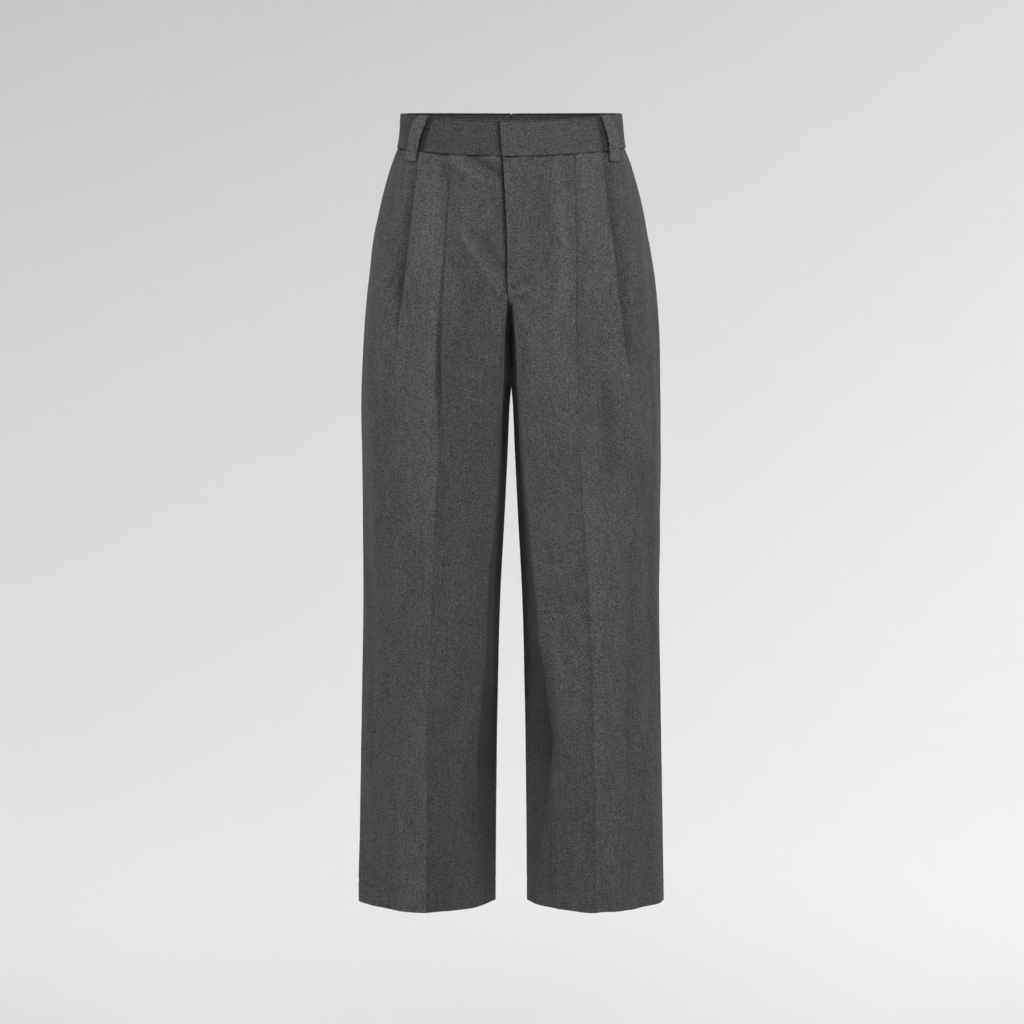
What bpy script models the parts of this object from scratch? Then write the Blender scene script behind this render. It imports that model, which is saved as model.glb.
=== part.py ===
# Pleated dress trousers, standing open in their worn shape.
#
# Every piece is one wall of cloth, built from level sections of the garment.
# Lengths in this file are millimetres until a mesh is made. +Z is up, the
# front faces -Y and the wearer's left side is +X. The origin is the middle of
# the waist opening, level with the waistband's top edge at the sides.

import math

import bmesh
import bpy
import numpy as np

MM = 0.001

# Driving sizes.
OUTSEAM = 1050.0          # side length, waistband included
BAND_HEIGHT = 45.0
BAND_WALL = 2.4           # two layers of cloth and the interlining
CLOTH = 1.2               # one layer of cloth
SEAM = 0.3                # gap left between pieces that are sewn together
LAYER = CLOTH + 0.45      # from one layer of a fold to the next
HEM_DEPTH = 28.0          # cloth turned up inside the hem
FRONT_DIP = 8.0           # how far the waist drops at the centre front
BACK_DIP = 1.0
DIP_FADES_AT = -195.0
CROTCH = -279.0
FLY_END = -226.0
LAP_CLOSES = -231.0       # the lap's layers come together below the fly
SEAM_CENTRED = -256.0     # the centre seam reaches the centre line
FLY_UNDERLAP = 8.0        # right front past the centre line, under the fly
BAND_UNDERLAP = 14.0
POCKET_END = -168.0
POCKET_TOP_SET = 28.0     # pocket mouth to outseam at the waistband
POCKET_END_SET = 6.0
FACING_TUCK = 12.0        # facing beyond the mouth, inside the front
FACING_FOOT = 12.0        # facing below the mouth's end
LOOP_WIDTH = 11.0
LOOP_WALL = 1.5
PLEAT_RISE = 12.0         # length of the slope up to a pleat's top layer
PLEAT_FALL = 18.0         # length of the slope back up past its edge
PLEAT_OPENS = 46.0        # height over which a pleat's end flattens out

CLOTH_COLOUR = (0.072, 0.072, 0.074, 1.0)
INNER_COLOUR = (0.060, 0.060, 0.062, 1.0)
BAND_COLOUR = (0.068, 0.068, 0.070, 1.0)


class Table:
    """Rows of named columns, read smoothly at any height."""

    def __init__(self, names, *rows):
        ordered = sorted(rows)
        self.data = {}
        for place, name in enumerate(names):
            self.data[name] = np.array([row[place] for row in ordered], float)

    def at(self, name, height):
        """Value of one column at a height, on a smooth curve."""
        z = self.data["z"]
        value = self.data[name]
        if height <= z[0]:
            return float(value[0])
        if height >= z[-1]:
            return float(value[-1])
        slope = np.gradient(value, z)
        i = int(np.searchsorted(z, height)) - 1
        span = z[i + 1] - z[i]
        t = (height - z[i]) / span
        low = (1 + 2 * t) * (1 - t) ** 2 * value[i] + t * (1 - t) ** 2 * span * slope[i]
        high = t * t * (3 - 2 * t) * value[i + 1] + t * t * (t - 1) * span * slope[i + 1]
        return float(low + high)


# Half width at the outseam and half gap between the legs. Then, for the front
# and the back: depth on the line of each leg, how far out the section is
# deepest, and how square its outer and inner corners are.
LEG_LINE = 95.0
SECTIONS = Table(
    ("z", "side", "gap",
     "front", "front_crest", "front_outer", "front_inner",
     "back", "back_crest", "back_outer", "back_inner"),
    (0, 142.4, 0.8, 88.5, 0, 2.30, 3.00, 89, 0, 2.30, 2.60),
    (-44, 147.3, 0.8, 93.5, 0, 2.32, 3.20, 97, 3.9, 2.30, 2.60),
    (-60, 153.7, 0.8, 96, 2, 2.34, 3.30, 101, 9.8, 2.30, 2.60),
    (-83, 161.2, 0.8, 99, 6.9, 2.34, 3.40, 106, 17.6, 2.30, 2.60),
    (-117, 170.3, 0.8, 103, 19.6, 2.34, 3.70, 113, 31.4, 2.28, 2.60),
    (-176, 180.9, 0.8, 107.5, 47.2, 2.34, 4.20, 121, 57, 2.22, 2.70),
    (-235, 188.8, 0.8, 109.5, 69.9, 2.34, 4.60, 121, 76.8, 2.18, 2.80),
    (-279, 192.6, 0.8, 109.8, 81.8, 2.32, 4.60, 117, 87.7, 2.15, 2.80),
    (-324, 194.6, 0.8, 109.2, 86.9, 2.28, 4.30, 112.5, 93.8, 2.12, 2.70),
    (-355, 195.8, 0.9, 108.3, 88.9, 2.24, 4.00, 109.5, 96.8, 2.10, 2.60),
    (-378, 196.5, 2.3, 107.5, 90.4, 2.20, 3.70, 107.5, 98.4, 2.06, 2.50),
    (-443, 196.7, 5.2, 104.5, 93.1, 2.12, 2.90, 102.5, 101, 2.00, 2.30),
    (-513, 196.2, 8.6, 100.5, 97.2, 2.00, 2.40, 98.5, 102.4, 1.95, 2.15),
    (-643, 196.2, 15.3, 93, 103.6, 1.80, 2.00, 92, 105.8, 1.80, 1.90),
    (-779, 198.9, 18.7, 86, 108.5, 1.66, 1.75, 87, 108.9, 1.70, 1.72),
    (-917, 201.9, 20.6, 80, 111.3, 1.56, 1.60, 81, 111.3, 1.62, 1.62),
    (-1050, 204.7, 21.6, 75, 113, 1.50, 1.50, 76, 113, 1.55, 1.55),
)

# How deep the cleft between the legs is at the centre seam, as the share of
# the way to the crotch, where the two legs part.
PARTING = Table(
    ("z", "front", "back"),
    (-44, 0.02, 0.02),
    (-117, 0.08, 0.12),
    (-176, 0.20, 0.34),
    (-210, 0.36, 0.53),
    (-231, 0.56, 0.67),
    (-241, 0.77, 0.75),
    (-249, 0.895, 0.82),
    (-258, 0.955, 0.89),
    (-269, 0.988, 0.955),
    (-279, 1.00, 1.00),
)

# Distance of the pressed crease and of the outer pleat from the centre line,
# on the wearer's right and left front.
LINES = Table(
    ("z", "crease_right", "crease_left", "outer_right", "outer_left"),
    (-44, 78.3, 80.3, 115.6, 117.0),
    (-107, 80.0, 81.4, 122.6, 121.6),
    (-176, 84.0, 82.6, 130.7, 130.2),
    (-235, 86.6, 82.7, 139.8, 136.9),
    (-294, 89.2, 83.3, 146.9, 145.0),
    (-363, 89.9, 87.0, 152.2, 153.2),
    (-433, 93.8, 89.6, 154.4, 158.4),
    (-533, 99.1, 95.3, 154.9, 156.9),
    (-668, 104.9, 103.6, 155.5, 155.5),
    (-779, 109.4, 108.0, 156.9, 156.9),
    (-917, 111.4, 111.2, 158.5, 158.5),
    (-1050, 113.1, 112.1, 159.1, 159.1),
)

# Edge of the fly lap, and below it the centre seam. Positive is the wearer's
# left.
FLY = Table(
    ("z", "edge"),
    (0, -13.7),
    (-44, -10.8),
    (-176, -4.9),
    (-230, -3.7),
    (-243, -1.4),
    (SEAM_CENTRED, 0.0),
)

# The four pleats: cloth folded under at the waistband, where the fold ends,
# the ridge that is left below, and how wide the fold's cloth spreads there.
PLEATS = {
    ("right", "crease"): {"depth": 17.0, "end": -358.0, "ridge": 1.3, "spread": 3.0},
    ("right", "outer"): {"depth": 17.0, "end": -231.0, "ridge": 0.0, "spread": 8.0},
    ("left", "crease"): {"depth": 15.0, "end": -256.0, "ridge": 1.3, "spread": 3.0},
    ("left", "outer"): {"depth": 17.0, "end": -294.0, "ridge": 0.0, "spread": 8.0},
}

# The largest soft folds: each runs from (x, z) to (x, z) on its panel, x
# counted from the centre line, and stands out by its height.
FOLD_COLUMNS = ("panel", "x_top", "z_top", "x_low", "z_low", "height", "width")
FOLDS = (
    ("front_right", 72, -54, 18, -92, 2.2, 9),
    ("front_right", 65, -148, 16, -227, 2.8, 12),
    ("front_right", 146, -245, 158, -373, 2.5, 16),
    ("front_right", 30, -754, 30, -1009, -3.0, 14),
    ("front_left", 61, -58, 65, -254, 2.2, 16),
    ("front_left", 148, -312, 169, -445, 3.6, 13),
    ("front_left", 128, -343, 141, -473, -2.4, 13),
    ("front_left", 16, -473, 34, -760, -3.0, 13),
    ("front_left", 34, -760, 56, -896, -3.4, 16),
    ("back_right", 73, -294, 148, -324, -1.8, 24),
    ("back_right", 65, -381, 158, -411, -1.8, 24),
    ("back_right", 149, -553, 50, -633, 2.0, 26),
    ("back_left", 77, -300, 150, -322, -2.0, 24),
    ("back_left", 63, -391, 154, -429, -1.8, 24),
    ("back_left", 147, -593, 54, -683, 2.0, 26),
)

# Belt loops: distance from the centre line at the loop's top and foot.
LOOP_COLUMNS = ("name", "wearer_side", "toward", "x_top", "x_foot")
LOOPS = (
    ("belt_loop_front_right", "right", "front", 113.5, 126.4),
    ("belt_loop_front_left", "left", "front", 122.3, 130.3),
    ("belt_loop_back_right", "right", "back", 88.0, 90.0),
    ("belt_loop_back_left", "left", "back", 88.0, 90.0),
    ("belt_loop_back_centre", "left", "back", 0.0, 0.0),
)

# A belt loop's own line: height, and how far its inner face stands out from
# the middle of the front's or back's cloth. The last rows lie on that cloth.
LOOP_LINE_COLUMNS = ("z", "out", "on_cloth")
LOOP_LINE = (
    (-0.5, 2.4, 0),
    (-5.0, 4.0, 0),
    (-14.0, 5.3, 0),
    (-27.0, 5.8, 0),
    (-40.0, 5.5, 0),
    (-50.0, 3.6, 1),
    (-57.0, 1.9, 1),
    (-62.0, 1.3, 1),
)

# Heights of the sections, closer together where the shape turns.
BAND_LEVELS = (0.0, -15.0, -30.0, SEAM / 2 - BAND_HEIGHT)
BODY_LEVELS = (
    -BAND_HEIGHT - SEAM / 2, -60.0, -83.0, -107.0, -132.0, -154.0, -176.0,
    -195.0, -213.0, FLY_END, LAP_CLOSES, -237.0, -243.0, -249.0, SEAM_CENTRED, -263.0,
    -270.0, -275.0, -278.0, CROTCH, -296.0, -316.0, -338.0, -361.0, -385.0,
    -418.0, -463.0, -523.0, -593.0, -668.0, -744.0, -820.0, -896.0, -963.0,
)
HEM_LEVELS = (HEM_DEPTH - OUTSEAM, HEM_DEPTH - OUTSEAM - 1.0, -OUTSEAM)

# Shares of the cloth between the centre and the crease, and between the outer
# pleat and the side, where the columns of the mesh run.
CENTRE_SHARES = (0.0, 0.045, 0.15, 0.30, 0.48, 0.66, 0.83, 1.0)
LAP_STEPS = (1.5, 7.5, 13.5)
SIDE_SHARES = (0.18, 0.38, 0.58, 0.77, 0.92, 1.0)
BACK_INNER_SHARES = (0.0, 0.07, 0.33, 0.66, 1.0)
BACK_CREASE_OFFSETS = (-7.0, 0.0, 7.0)
BACK_OUTER_SHARES = (0.0, 0.28, 0.54, 0.76, 0.91, 1.0)
BAND_FRONT_SHARES = (0.0, 0.20, 0.40, 0.58, 0.72, 0.85, 0.97)
BAND_BACK_SHARES = (0.0, 0.18, 0.36, 0.54, 0.70, 0.84, 0.97)


def smooth(value):
    """0 below 0, 1 above 1, and an even slope between."""
    t = np.clip(value, 0.0, 1.0)
    return t * t * (3 - 2 * t)


def dip(x, y, z):
    """How far the level line through a point is lowered by the waist's dip."""
    across = np.clip(1 - (x / SECTIONS.at("side", z)) ** 2, 0, 1)
    drop = FRONT_DIP if y < 0 else BACK_DIP
    depth = SECTIONS.at("front" if y < 0 else "back", z)
    near = smooth(abs(y) / (0.6 * depth))
    fade = 1 - smooth((-BAND_HEIGHT - z) / (-BAND_HEIGHT - DIP_FADES_AT))
    return drop * across * near * fade


class Line:
    """One half section as a line from the centre to the outseam."""

    def __init__(self, z, toward, start=None):
        self.z = z
        self.facing = -1 if toward == "front" else 1
        side = SECTIONS.at("side", z)
        gap = SECTIONS.at("gap", z)
        crest = SECTIONS.at(toward + "_crest", z)
        outer = SECTIONS.at(toward + "_outer", z)
        inner = SECTIONS.at(toward + "_inner", z)
        outer_reach = side - crest
        inner_reach = max(crest - gap, 0.1) / PARTING.at(toward, z)
        off_leg = max(LEG_LINE - crest, 0.0) / outer_reach
        depth = SECTIONS.at(toward, z) / (1 - off_leg ** outer) ** (1 / outer)
        turn = np.linspace(math.pi / 2, 0, 721)
        outer_x = crest + outer_reach * np.cos(turn) ** (2 / outer)
        outer_y = depth * np.sin(turn) ** (2 / outer)
        turn = np.linspace(0, math.pi / 2, 1441)[:-1]
        inner_x = crest - inner_reach * np.cos(turn) ** (2 / inner)
        inner_y = depth * np.sin(turn) ** (2 / inner)
        x = np.concatenate((inner_x, outer_x))
        y = self.facing * np.concatenate((inner_y, outer_y))
        if start is None:
            start = SEAM / 2
        else:
            x, y = self.across_centre(x, y, start)
        lean = np.sin(np.arctan2(np.gradient(y), np.gradient(x)))
        outer_x = x - 0.5 * CLOTH * np.abs(lean) * (x > 0)
        keep = (outer_x >= start) & (np.abs(y) >= SEAM / 2)
        self.x = x[keep]
        self.y = y[keep]
        steps = np.hypot(np.diff(self.x), np.diff(self.y))
        self.s = np.concatenate(([0.0], np.cumsum(steps)))
        self.length = float(self.s[-1])

    def across_centre(self, x, y, start):
        """The same line, run on past the centre with its valley rounded."""
        meet = 60.0
        order = x > -1
        far = x > meet
        near = np.arange(start, meet, 0.25)
        soften = 14.0 * (1 - smooth((-225.0 - self.z) / 24.0))
        reach = np.sqrt(near ** 2 + (soften * (1 - np.abs(near) / meet)) ** 2)
        level = np.interp(reach, x[order], y[order])
        return np.concatenate((near, x[far])), np.concatenate((level, y[far]))

    def at_x(self, distance):
        """Length along the line where it is this far from the centre."""
        return float(np.interp(distance, self.x, self.s))

    def point(self, s, out):
        """Point at a length along the line, moved out from it."""
        x = np.interp(s, self.s, self.x)
        y = np.interp(s, self.s, self.y)
        ahead = min(s + 2.0, self.length)
        behind = max(s - 2.0, 0.0)
        along_x = np.interp(ahead, self.s, self.x) - np.interp(behind, self.s, self.x)
        along_y = np.interp(ahead, self.s, self.y) - np.interp(behind, self.s, self.y)
        size = math.hypot(along_x, along_y)
        normal_x = -self.facing * along_y / size
        normal_y = self.facing * along_x / size
        return x + out * normal_x, y + out * normal_y


def fold_relief(panel, x, z):
    """Height that the soft folds give a panel at one place."""
    total = 0.0
    for row in FOLDS:
        fold = dict(zip(FOLD_COLUMNS, row))
        if fold["panel"] != panel:
            continue
        run_x = fold["x_low"] - fold["x_top"]
        run_z = fold["z_low"] - fold["z_top"]
        length = math.hypot(run_x, run_z)
        t = ((x - fold["x_top"]) * run_x + (z - fold["z_top"]) * run_z) / length ** 2
        off = abs((x - fold["x_top"]) * run_z - (z - fold["z_top"]) * run_x) / length
        ends = smooth((t + 0.15) / 0.35) * smooth((1.15 - t) / 0.35)
        total += fold["height"] * float(ends) * math.exp(-(off / fold["width"]) ** 2)
    return total


class Pleat:
    """One pleat or crease at one height: where its folds are and how high.

    From the centre outward its six corners are the start of the top layer,
    the fold's edge twice, the fold inside it twice, and the cloth that comes
    out from under it. Below the fold's end they spread into a plain step and
    then into flat cloth.
    """

    FOLD_HEIGHTS = (1.0, 1.0, 0.0, 0.0, -1.0, -1.0)
    STEP_PLACES = (-3.0, 0.0, 0.2, 1.0, 1.2, 4.0)
    STEP_HEIGHTS = (1.0, 1.0, 0.35, -0.35, -1.0, -1.0)
    FLAT_PLACES = (-2.2, -1.0, 0.0, 1.0, 2.2, 3.6)

    def __init__(self, side, line_name, line):
        size = PLEATS[(side, line_name)]
        z = line.z
        self.s = line.at_x(LINES.at(line_name + "_" + side, z))
        below = (size["end"] - z) / PLEAT_OPENS
        flat = math.sin(math.pi / 2 * np.clip(below, 0, 1))
        down = np.clip((-BAND_HEIGHT - z) / (-BAND_HEIGHT - size["end"]), 0, 1)
        self.depth = size["depth"] * (1 - down) + 1.5
        self.lift = LAYER * (1 - flat)
        if below <= 0:
            places = (-self.depth - 2.0, 0.0, 0.0, -self.depth, -self.depth, 3.0)
            heights = self.FOLD_HEIGHTS
        else:
            places = self.STEP_PLACES
            heights = self.STEP_HEIGHTS
        ridge = size["ridge"] * smooth((size["end"] - z) / 120.0 + 0.3)
        self.corners = []
        for place, height, spread in zip(places, heights, self.FLAT_PLACES):
            offset = place * (1 - flat) + spread * size["spread"] * flat
            level = ridge * math.exp(-abs(spread * size["spread"]) / 7.0)
            out = height * LAYER * (1 - flat) + level * flat
            self.corners.append((self.s + offset, out))

    def relief(self, s):
        """Slope of the cloth up to the pleat and back down past it."""
        before = self.s - self.depth - 2.0 - s
        after = s - self.s - 3.0
        up = self.lift * smooth(1 - before / PLEAT_RISE) if before >= 0 else 0.0
        down = self.lift * smooth(1 - after / PLEAT_FALL) if after >= 0 else 0.0
        return float(up - down)


def front_start(side, z):
    """Where a front's inner edge lies, past the centre if negative."""
    edge = FLY.at("edge", z)
    if z < SEAM_CENTRED:
        return None
    if side == "left":
        return edge + SEAM / 2
    if z >= FLY_END:
        return -FLY_UNDERLAP
    if z >= LAP_CLOSES:
        return CLOTH - edge
    return SEAM / 2 - edge


def underlap_drop(side, x, z):
    """How far the right front steps in to pass under the fly lap."""
    if side == "left" or z < LAP_CLOSES:
        return 0.0
    past_edge = x + FLY.at("edge", z) - 1.5
    return LAYER * (1 - float(smooth(past_edge / 12.0)))


def front_row(side, z):
    """Column places of one front at one height: length along, height out."""
    line = Line(z, "front", front_start(side, z))
    crease = Pleat(side, "crease", line)
    outer = Pleat(side, "outer", line)
    panel = "front_" + side
    first = crease.corners[0][0] - PLEAT_RISE
    plain = [first * share for share in CENTRE_SHARES]
    if z >= LAP_CLOSES:
        lap = -FLY.at("edge", z)
        plain = [0.0] + [line.at_x(lap + step) for step in LAP_STEPS]
        plain += list(np.linspace(plain[-1], first, 5))[1:]
    middle_from = crease.corners[-1][0]
    middle_to = outer.corners[0][0]
    middle = [middle_from + share * (middle_to - middle_from) for share in (0.33, 0.67)]
    mouth = pocket_set(z) if z >= POCKET_END else SEAM / 2
    side_from = outer.corners[-1][0]
    side_to = line.length - mouth
    sides = [side_from + share * (side_to - side_from) for share in SIDE_SHARES]

    def settled(s):
        x = float(np.interp(s, line.s, line.x))
        out = crease.relief(s) + outer.relief(s) + fold_relief(panel, x, z)
        return s, out - underlap_drop(side, x, z)

    def cornered(pleat, other):
        row = []
        for s, out in pleat.corners:
            x = float(np.interp(s, line.s, line.x))
            row.append((s, out + other.relief(s) + fold_relief(panel, x, z)))
        return row

    row = [settled(s) for s in plain]
    row += cornered(crease, outer)
    row += [settled(s) for s in middle]
    row += cornered(outer, crease)
    row += [settled(s) for s in sides]
    return [line.point(s, out) for s, out in row]


def pocket_set(z):
    """Distance from the pocket mouth to the outseam."""
    t = (z + BAND_HEIGHT) / (POCKET_END + BAND_HEIGHT)
    return POCKET_TOP_SET + (POCKET_END_SET - POCKET_TOP_SET) * t


def back_row(side, z):
    """Points of one back at one height, centre to outseam."""
    line = Line(z, "back")
    crease_s = line.at_x(0.52 * (SECTIONS.at("side", z) + SECTIONS.at("gap", z)))
    pressed = 1.2 * float(smooth((-180.0 - z) / 160.0))
    places = [share * (crease_s - 16) for share in BACK_INNER_SHARES]
    places += [crease_s + offset for offset in BACK_CREASE_OFFSETS]
    rest = line.length - SEAM / 2 - crease_s - 16
    places += [crease_s + 16 + share * rest for share in BACK_OUTER_SHARES]
    points = []
    for s in places:
        x = float(np.interp(s, line.s, line.x))
        crest = pressed * math.exp(-abs(s - crease_s) / 7.0)
        points.append(line.point(s, crest + fold_relief("back_" + side, x, z)))
    return points


def band_row(side, z):
    """Points of half the waistband at one height, front end to centre back."""
    start = FLY.at("edge", z) if side == "left" else -BAND_UNDERLAP
    front = Line(z, "front", start)
    back = Line(z, "back")
    middle = BAND_WALL / 2 - CLOTH / 4
    lap = -FLY.at("edge", z)
    places = [0.0] + [front.at_x(lap + step) for step in LAP_STEPS]
    rest = front.length - places[-1]
    places += [places[-1] + share * rest for share in BAND_FRONT_SHARES[1:]]
    points = []
    for s in places:
        x = float(np.interp(s, front.s, front.x))
        past_edge = x - lap - LAP_STEPS[0]
        under = 0.0 if side == "left" else 1 - float(smooth(past_edge / 12.0))
        points.append(front.point(s, middle - under * (BAND_WALL + SEAM)))
    for share in reversed(BAND_BACK_SHARES):
        points.append(back.point(share * back.length, middle))
    return points


def facing_row(side, z):
    """Points of a pocket facing at one height, front end to back end."""
    front = Line(z, "front", front_start(side, z))
    back = Line(z, "back")
    mouth = max(pocket_set(z), POCKET_END_SET)
    points = []
    for before_side in (mouth + FACING_TUCK, mouth + 4.0, mouth * 0.5, 2.0):
        points.append(front.point(front.length - before_side, -LAYER))
    for past_side in (3.0, 9.0):
        points.append(back.point(back.length - past_side, -LAYER))
    return points


def outward_sides(row, hand):
    """Unit directions across a row of points, lengthened at its corners.

    An end that lies on the plane of the side seams or inseams is squared to it.
    """
    flat = np.array(row)
    step = np.diff(flat, axis=0)
    step /= np.hypot(step[:, 0], step[:, 1])[:, None]
    across = hand * np.column_stack((step[:, 1], -step[:, 0]))
    before = np.vstack((across[:1], across))
    after = np.vstack((across, across[-1:]))
    both = before + after
    for end in (0, -1):
        if abs(flat[end, 1]) < 1.0:
            both[end] = (2 * np.sign(across[end, 0]), 0.0)
    return 2 * both / np.maximum((both ** 2).sum(axis=1), 0.8)[:, None]


def cloth_material(name, colour):
    """Matt wool."""
    material = bpy.data.materials.new(name)
    material.use_nodes = True
    shader = material.node_tree.nodes["Principled BSDF"]
    shader.inputs["Base Color"].default_value = colour
    shader.inputs["Roughness"].default_value = 0.9
    shader.inputs["Metallic"].default_value = 0.0
    return material


def add_piece(name, points, faces, colour):
    """One named piece from its points and faces, faces turned outward."""
    mesh = bpy.data.meshes.new(name)
    mesh.from_pydata([tuple(MM * value for value in point) for point in points], [], faces)
    piece = bpy.data.objects.new(name, mesh)
    bpy.context.scene.collection.objects.link(piece)
    mesh.materials.append(cloth_material(name, colour))
    shape = bmesh.new()
    shape.from_mesh(mesh)
    bmesh.ops.recalc_face_normals(shape, faces=shape.faces)
    shape.to_mesh(mesh)
    shape.free()
    mesh.shade_smooth()
    mesh.set_sharp_from_angle(angle=math.radians(40))
    return piece


def add_wall(name, side, levels, row_at, hand, walls_at, colour):
    """A wall of cloth through level rows of points.

    The wearer's left is made as it stands and the right is its mirror image.
    """
    mirror = 1 if side == "left" else -1
    skins = ([], [])
    for z in levels:
        row = row_at(side, z)
        sides = outward_sides(row, hand)
        for skin, reach in zip(skins, walls_at(z)):
            for (x, y), (across_x, across_y) in zip(row, sides):
                high = z - dip(x, y, z)
                skin.append((mirror * (x + reach * across_x), y + reach * across_y, high))
    count = len(row)
    last = len(levels) - 1
    inner = len(skins[0])
    faces = []
    for i in range(last):
        for j in range(count - 1):
            corner = i * count + j
            quad = (corner, corner + 1, corner + count + 1, corner + count)
            faces.append(quad)
            faces.append(tuple(inner + place for place in reversed(quad)))
    for j in range(count - 1):
        faces.append((j + 1, j, inner + j, inner + j + 1))
        low = last * count + j
        faces.append((low, low + 1, inner + low + 1, inner + low))
    for i in range(last):
        for edge, turned in ((i * count, False), (i * count + count - 1, True)):
            quad = (edge, edge + count, inner + edge + count, inner + edge)
            faces.append(tuple(reversed(quad)) if turned else quad)
    return add_piece(name, skins[0] + skins[1], faces, colour)


def panel_walls(z):
    """Outer and inner face of a leg's wall, doubled where the hem turns up."""
    if z <= HEM_LEVELS[1]:
        return CLOTH / 2, -CLOTH / 2 - CLOTH
    return CLOTH / 2, -CLOTH / 2


def band_walls(z):
    """Outer and inner face of the waistband."""
    return BAND_WALL / 2, -BAND_WALL / 2


def single_wall(z):
    """Outer and inner face of one layer of cloth."""
    return CLOTH / 2, -CLOTH / 2


def add_loop(loop):
    """One belt loop, a flat strip that stands off the waistband."""
    side = loop["wearer_side"]
    mirror = 1 if side == "left" else -1
    points = []
    for row in LOOP_LINE:
        place = dict(zip(LOOP_LINE_COLUMNS, row))
        z = place["z"]
        start = front_start(side, z) if loop["toward"] == "front" else None
        line = Line(z, loop["toward"], start)
        down = z / LOOP_LINE[-1][0]
        x_middle = loop["x_top"] + (loop["x_foot"] - loop["x_top"]) * down
        middle = line.at_x(x_middle) if x_middle > 0 else 0.0
        out = place["out"]
        if place["on_cloth"] and loop["toward"] == "front":
            out += Pleat(side, "outer", line).relief(middle)
        for across, face in ((-0.5, 0), (0.5, 0), (0.5, LOOP_WALL), (-0.5, LOOP_WALL)):
            s = middle + across * LOOP_WIDTH
            x, y = line.point(abs(s), out + face)
            x = x if s >= 0 else -x
            points.append((mirror * x, y, z - dip(x, y, z)))
    faces = [(3, 2, 1, 0)]
    for i in range(len(LOOP_LINE) - 1):
        low = 4 * i
        for j in range(4):
            k = (j + 1) % 4
            faces.append((low + j, low + k, low + 4 + k, low + 4 + j))
    end = len(points)
    faces.append((end - 4, end - 3, end - 2, end - 1))
    add_piece(loop["name"], points, faces, BAND_COLOUR)


for old in list(bpy.data.objects):
    bpy.data.objects.remove(old, do_unlink=True)

leg_levels = BODY_LEVELS + HEM_LEVELS
facing_levels = [z for z in BODY_LEVELS if z > POCKET_END] + [POCKET_END - FACING_FOOT]
for wearer_side in ("right", "left"):
    add_wall("front_" + wearer_side, wearer_side, leg_levels, front_row, 1,
             panel_walls, CLOTH_COLOUR)
    add_wall("back_" + wearer_side, wearer_side, leg_levels, back_row, -1,
             panel_walls, CLOTH_COLOUR)
    add_wall("waistband_" + wearer_side, wearer_side, BAND_LEVELS, band_row, 1,
             band_walls, BAND_COLOUR)
    add_wall("pocket_facing_" + wearer_side, wearer_side, facing_levels, facing_row, 1,
             single_wall, INNER_COLOUR)
for row in LOOPS:
    add_loop(dict(zip(LOOP_COLUMNS, row)))
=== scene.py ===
import math

import bpy
import numpy as np
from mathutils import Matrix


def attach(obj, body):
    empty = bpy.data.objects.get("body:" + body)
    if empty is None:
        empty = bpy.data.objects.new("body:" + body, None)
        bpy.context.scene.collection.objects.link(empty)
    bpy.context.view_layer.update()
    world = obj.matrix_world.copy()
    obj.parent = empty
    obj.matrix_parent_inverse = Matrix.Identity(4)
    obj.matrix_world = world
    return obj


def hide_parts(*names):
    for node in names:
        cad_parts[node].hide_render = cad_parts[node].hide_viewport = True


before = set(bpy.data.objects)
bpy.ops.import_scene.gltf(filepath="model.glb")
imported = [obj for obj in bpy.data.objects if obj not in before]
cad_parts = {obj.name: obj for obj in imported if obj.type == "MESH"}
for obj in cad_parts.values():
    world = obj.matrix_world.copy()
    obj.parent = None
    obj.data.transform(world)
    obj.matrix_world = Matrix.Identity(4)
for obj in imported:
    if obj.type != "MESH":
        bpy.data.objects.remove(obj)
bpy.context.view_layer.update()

mm = 0.001
print("frame loaded:", len(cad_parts), "nodes")

# The form of the trousers, in millimetres. x is counted from the centre line
# outward, the front faces -y, and the wearer's left is made as it stands and
# the right as its mirror image. Each row of a table is one height.
form = {
    "bandHeight": 45.0,
    "outseam": 1050.0,
    "legLine": 95.0,            # where the depths in sections are taken
    "frontDip": 8.0,            # drop of the waist at the centre front
    "backDip": 1.0,
    "dipFades": -195.0,
    "crotch": -279.0,
    "flyEnd": -226.0,
    "seamCentred": -256.0,
    "seamSet": 0.33,            # from the centre of a seam to each cloth
    "underlap": 8.0,            # right front past the centre, under the fly
    "bandUnderlap": 14.0,
    "mouthEnd": -168.0,
    "mouthTopSet": 28.0,        # pocket mouth to outseam at the waistband
    "mouthEndSet": 6.0,
    "cornerStarts": -227.0,     # where the fronts turn in between the legs
    "cornerRound": 1.8,
    "cornerFades": (-830.0, 170.0),     # from this height down, over this
}

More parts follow.
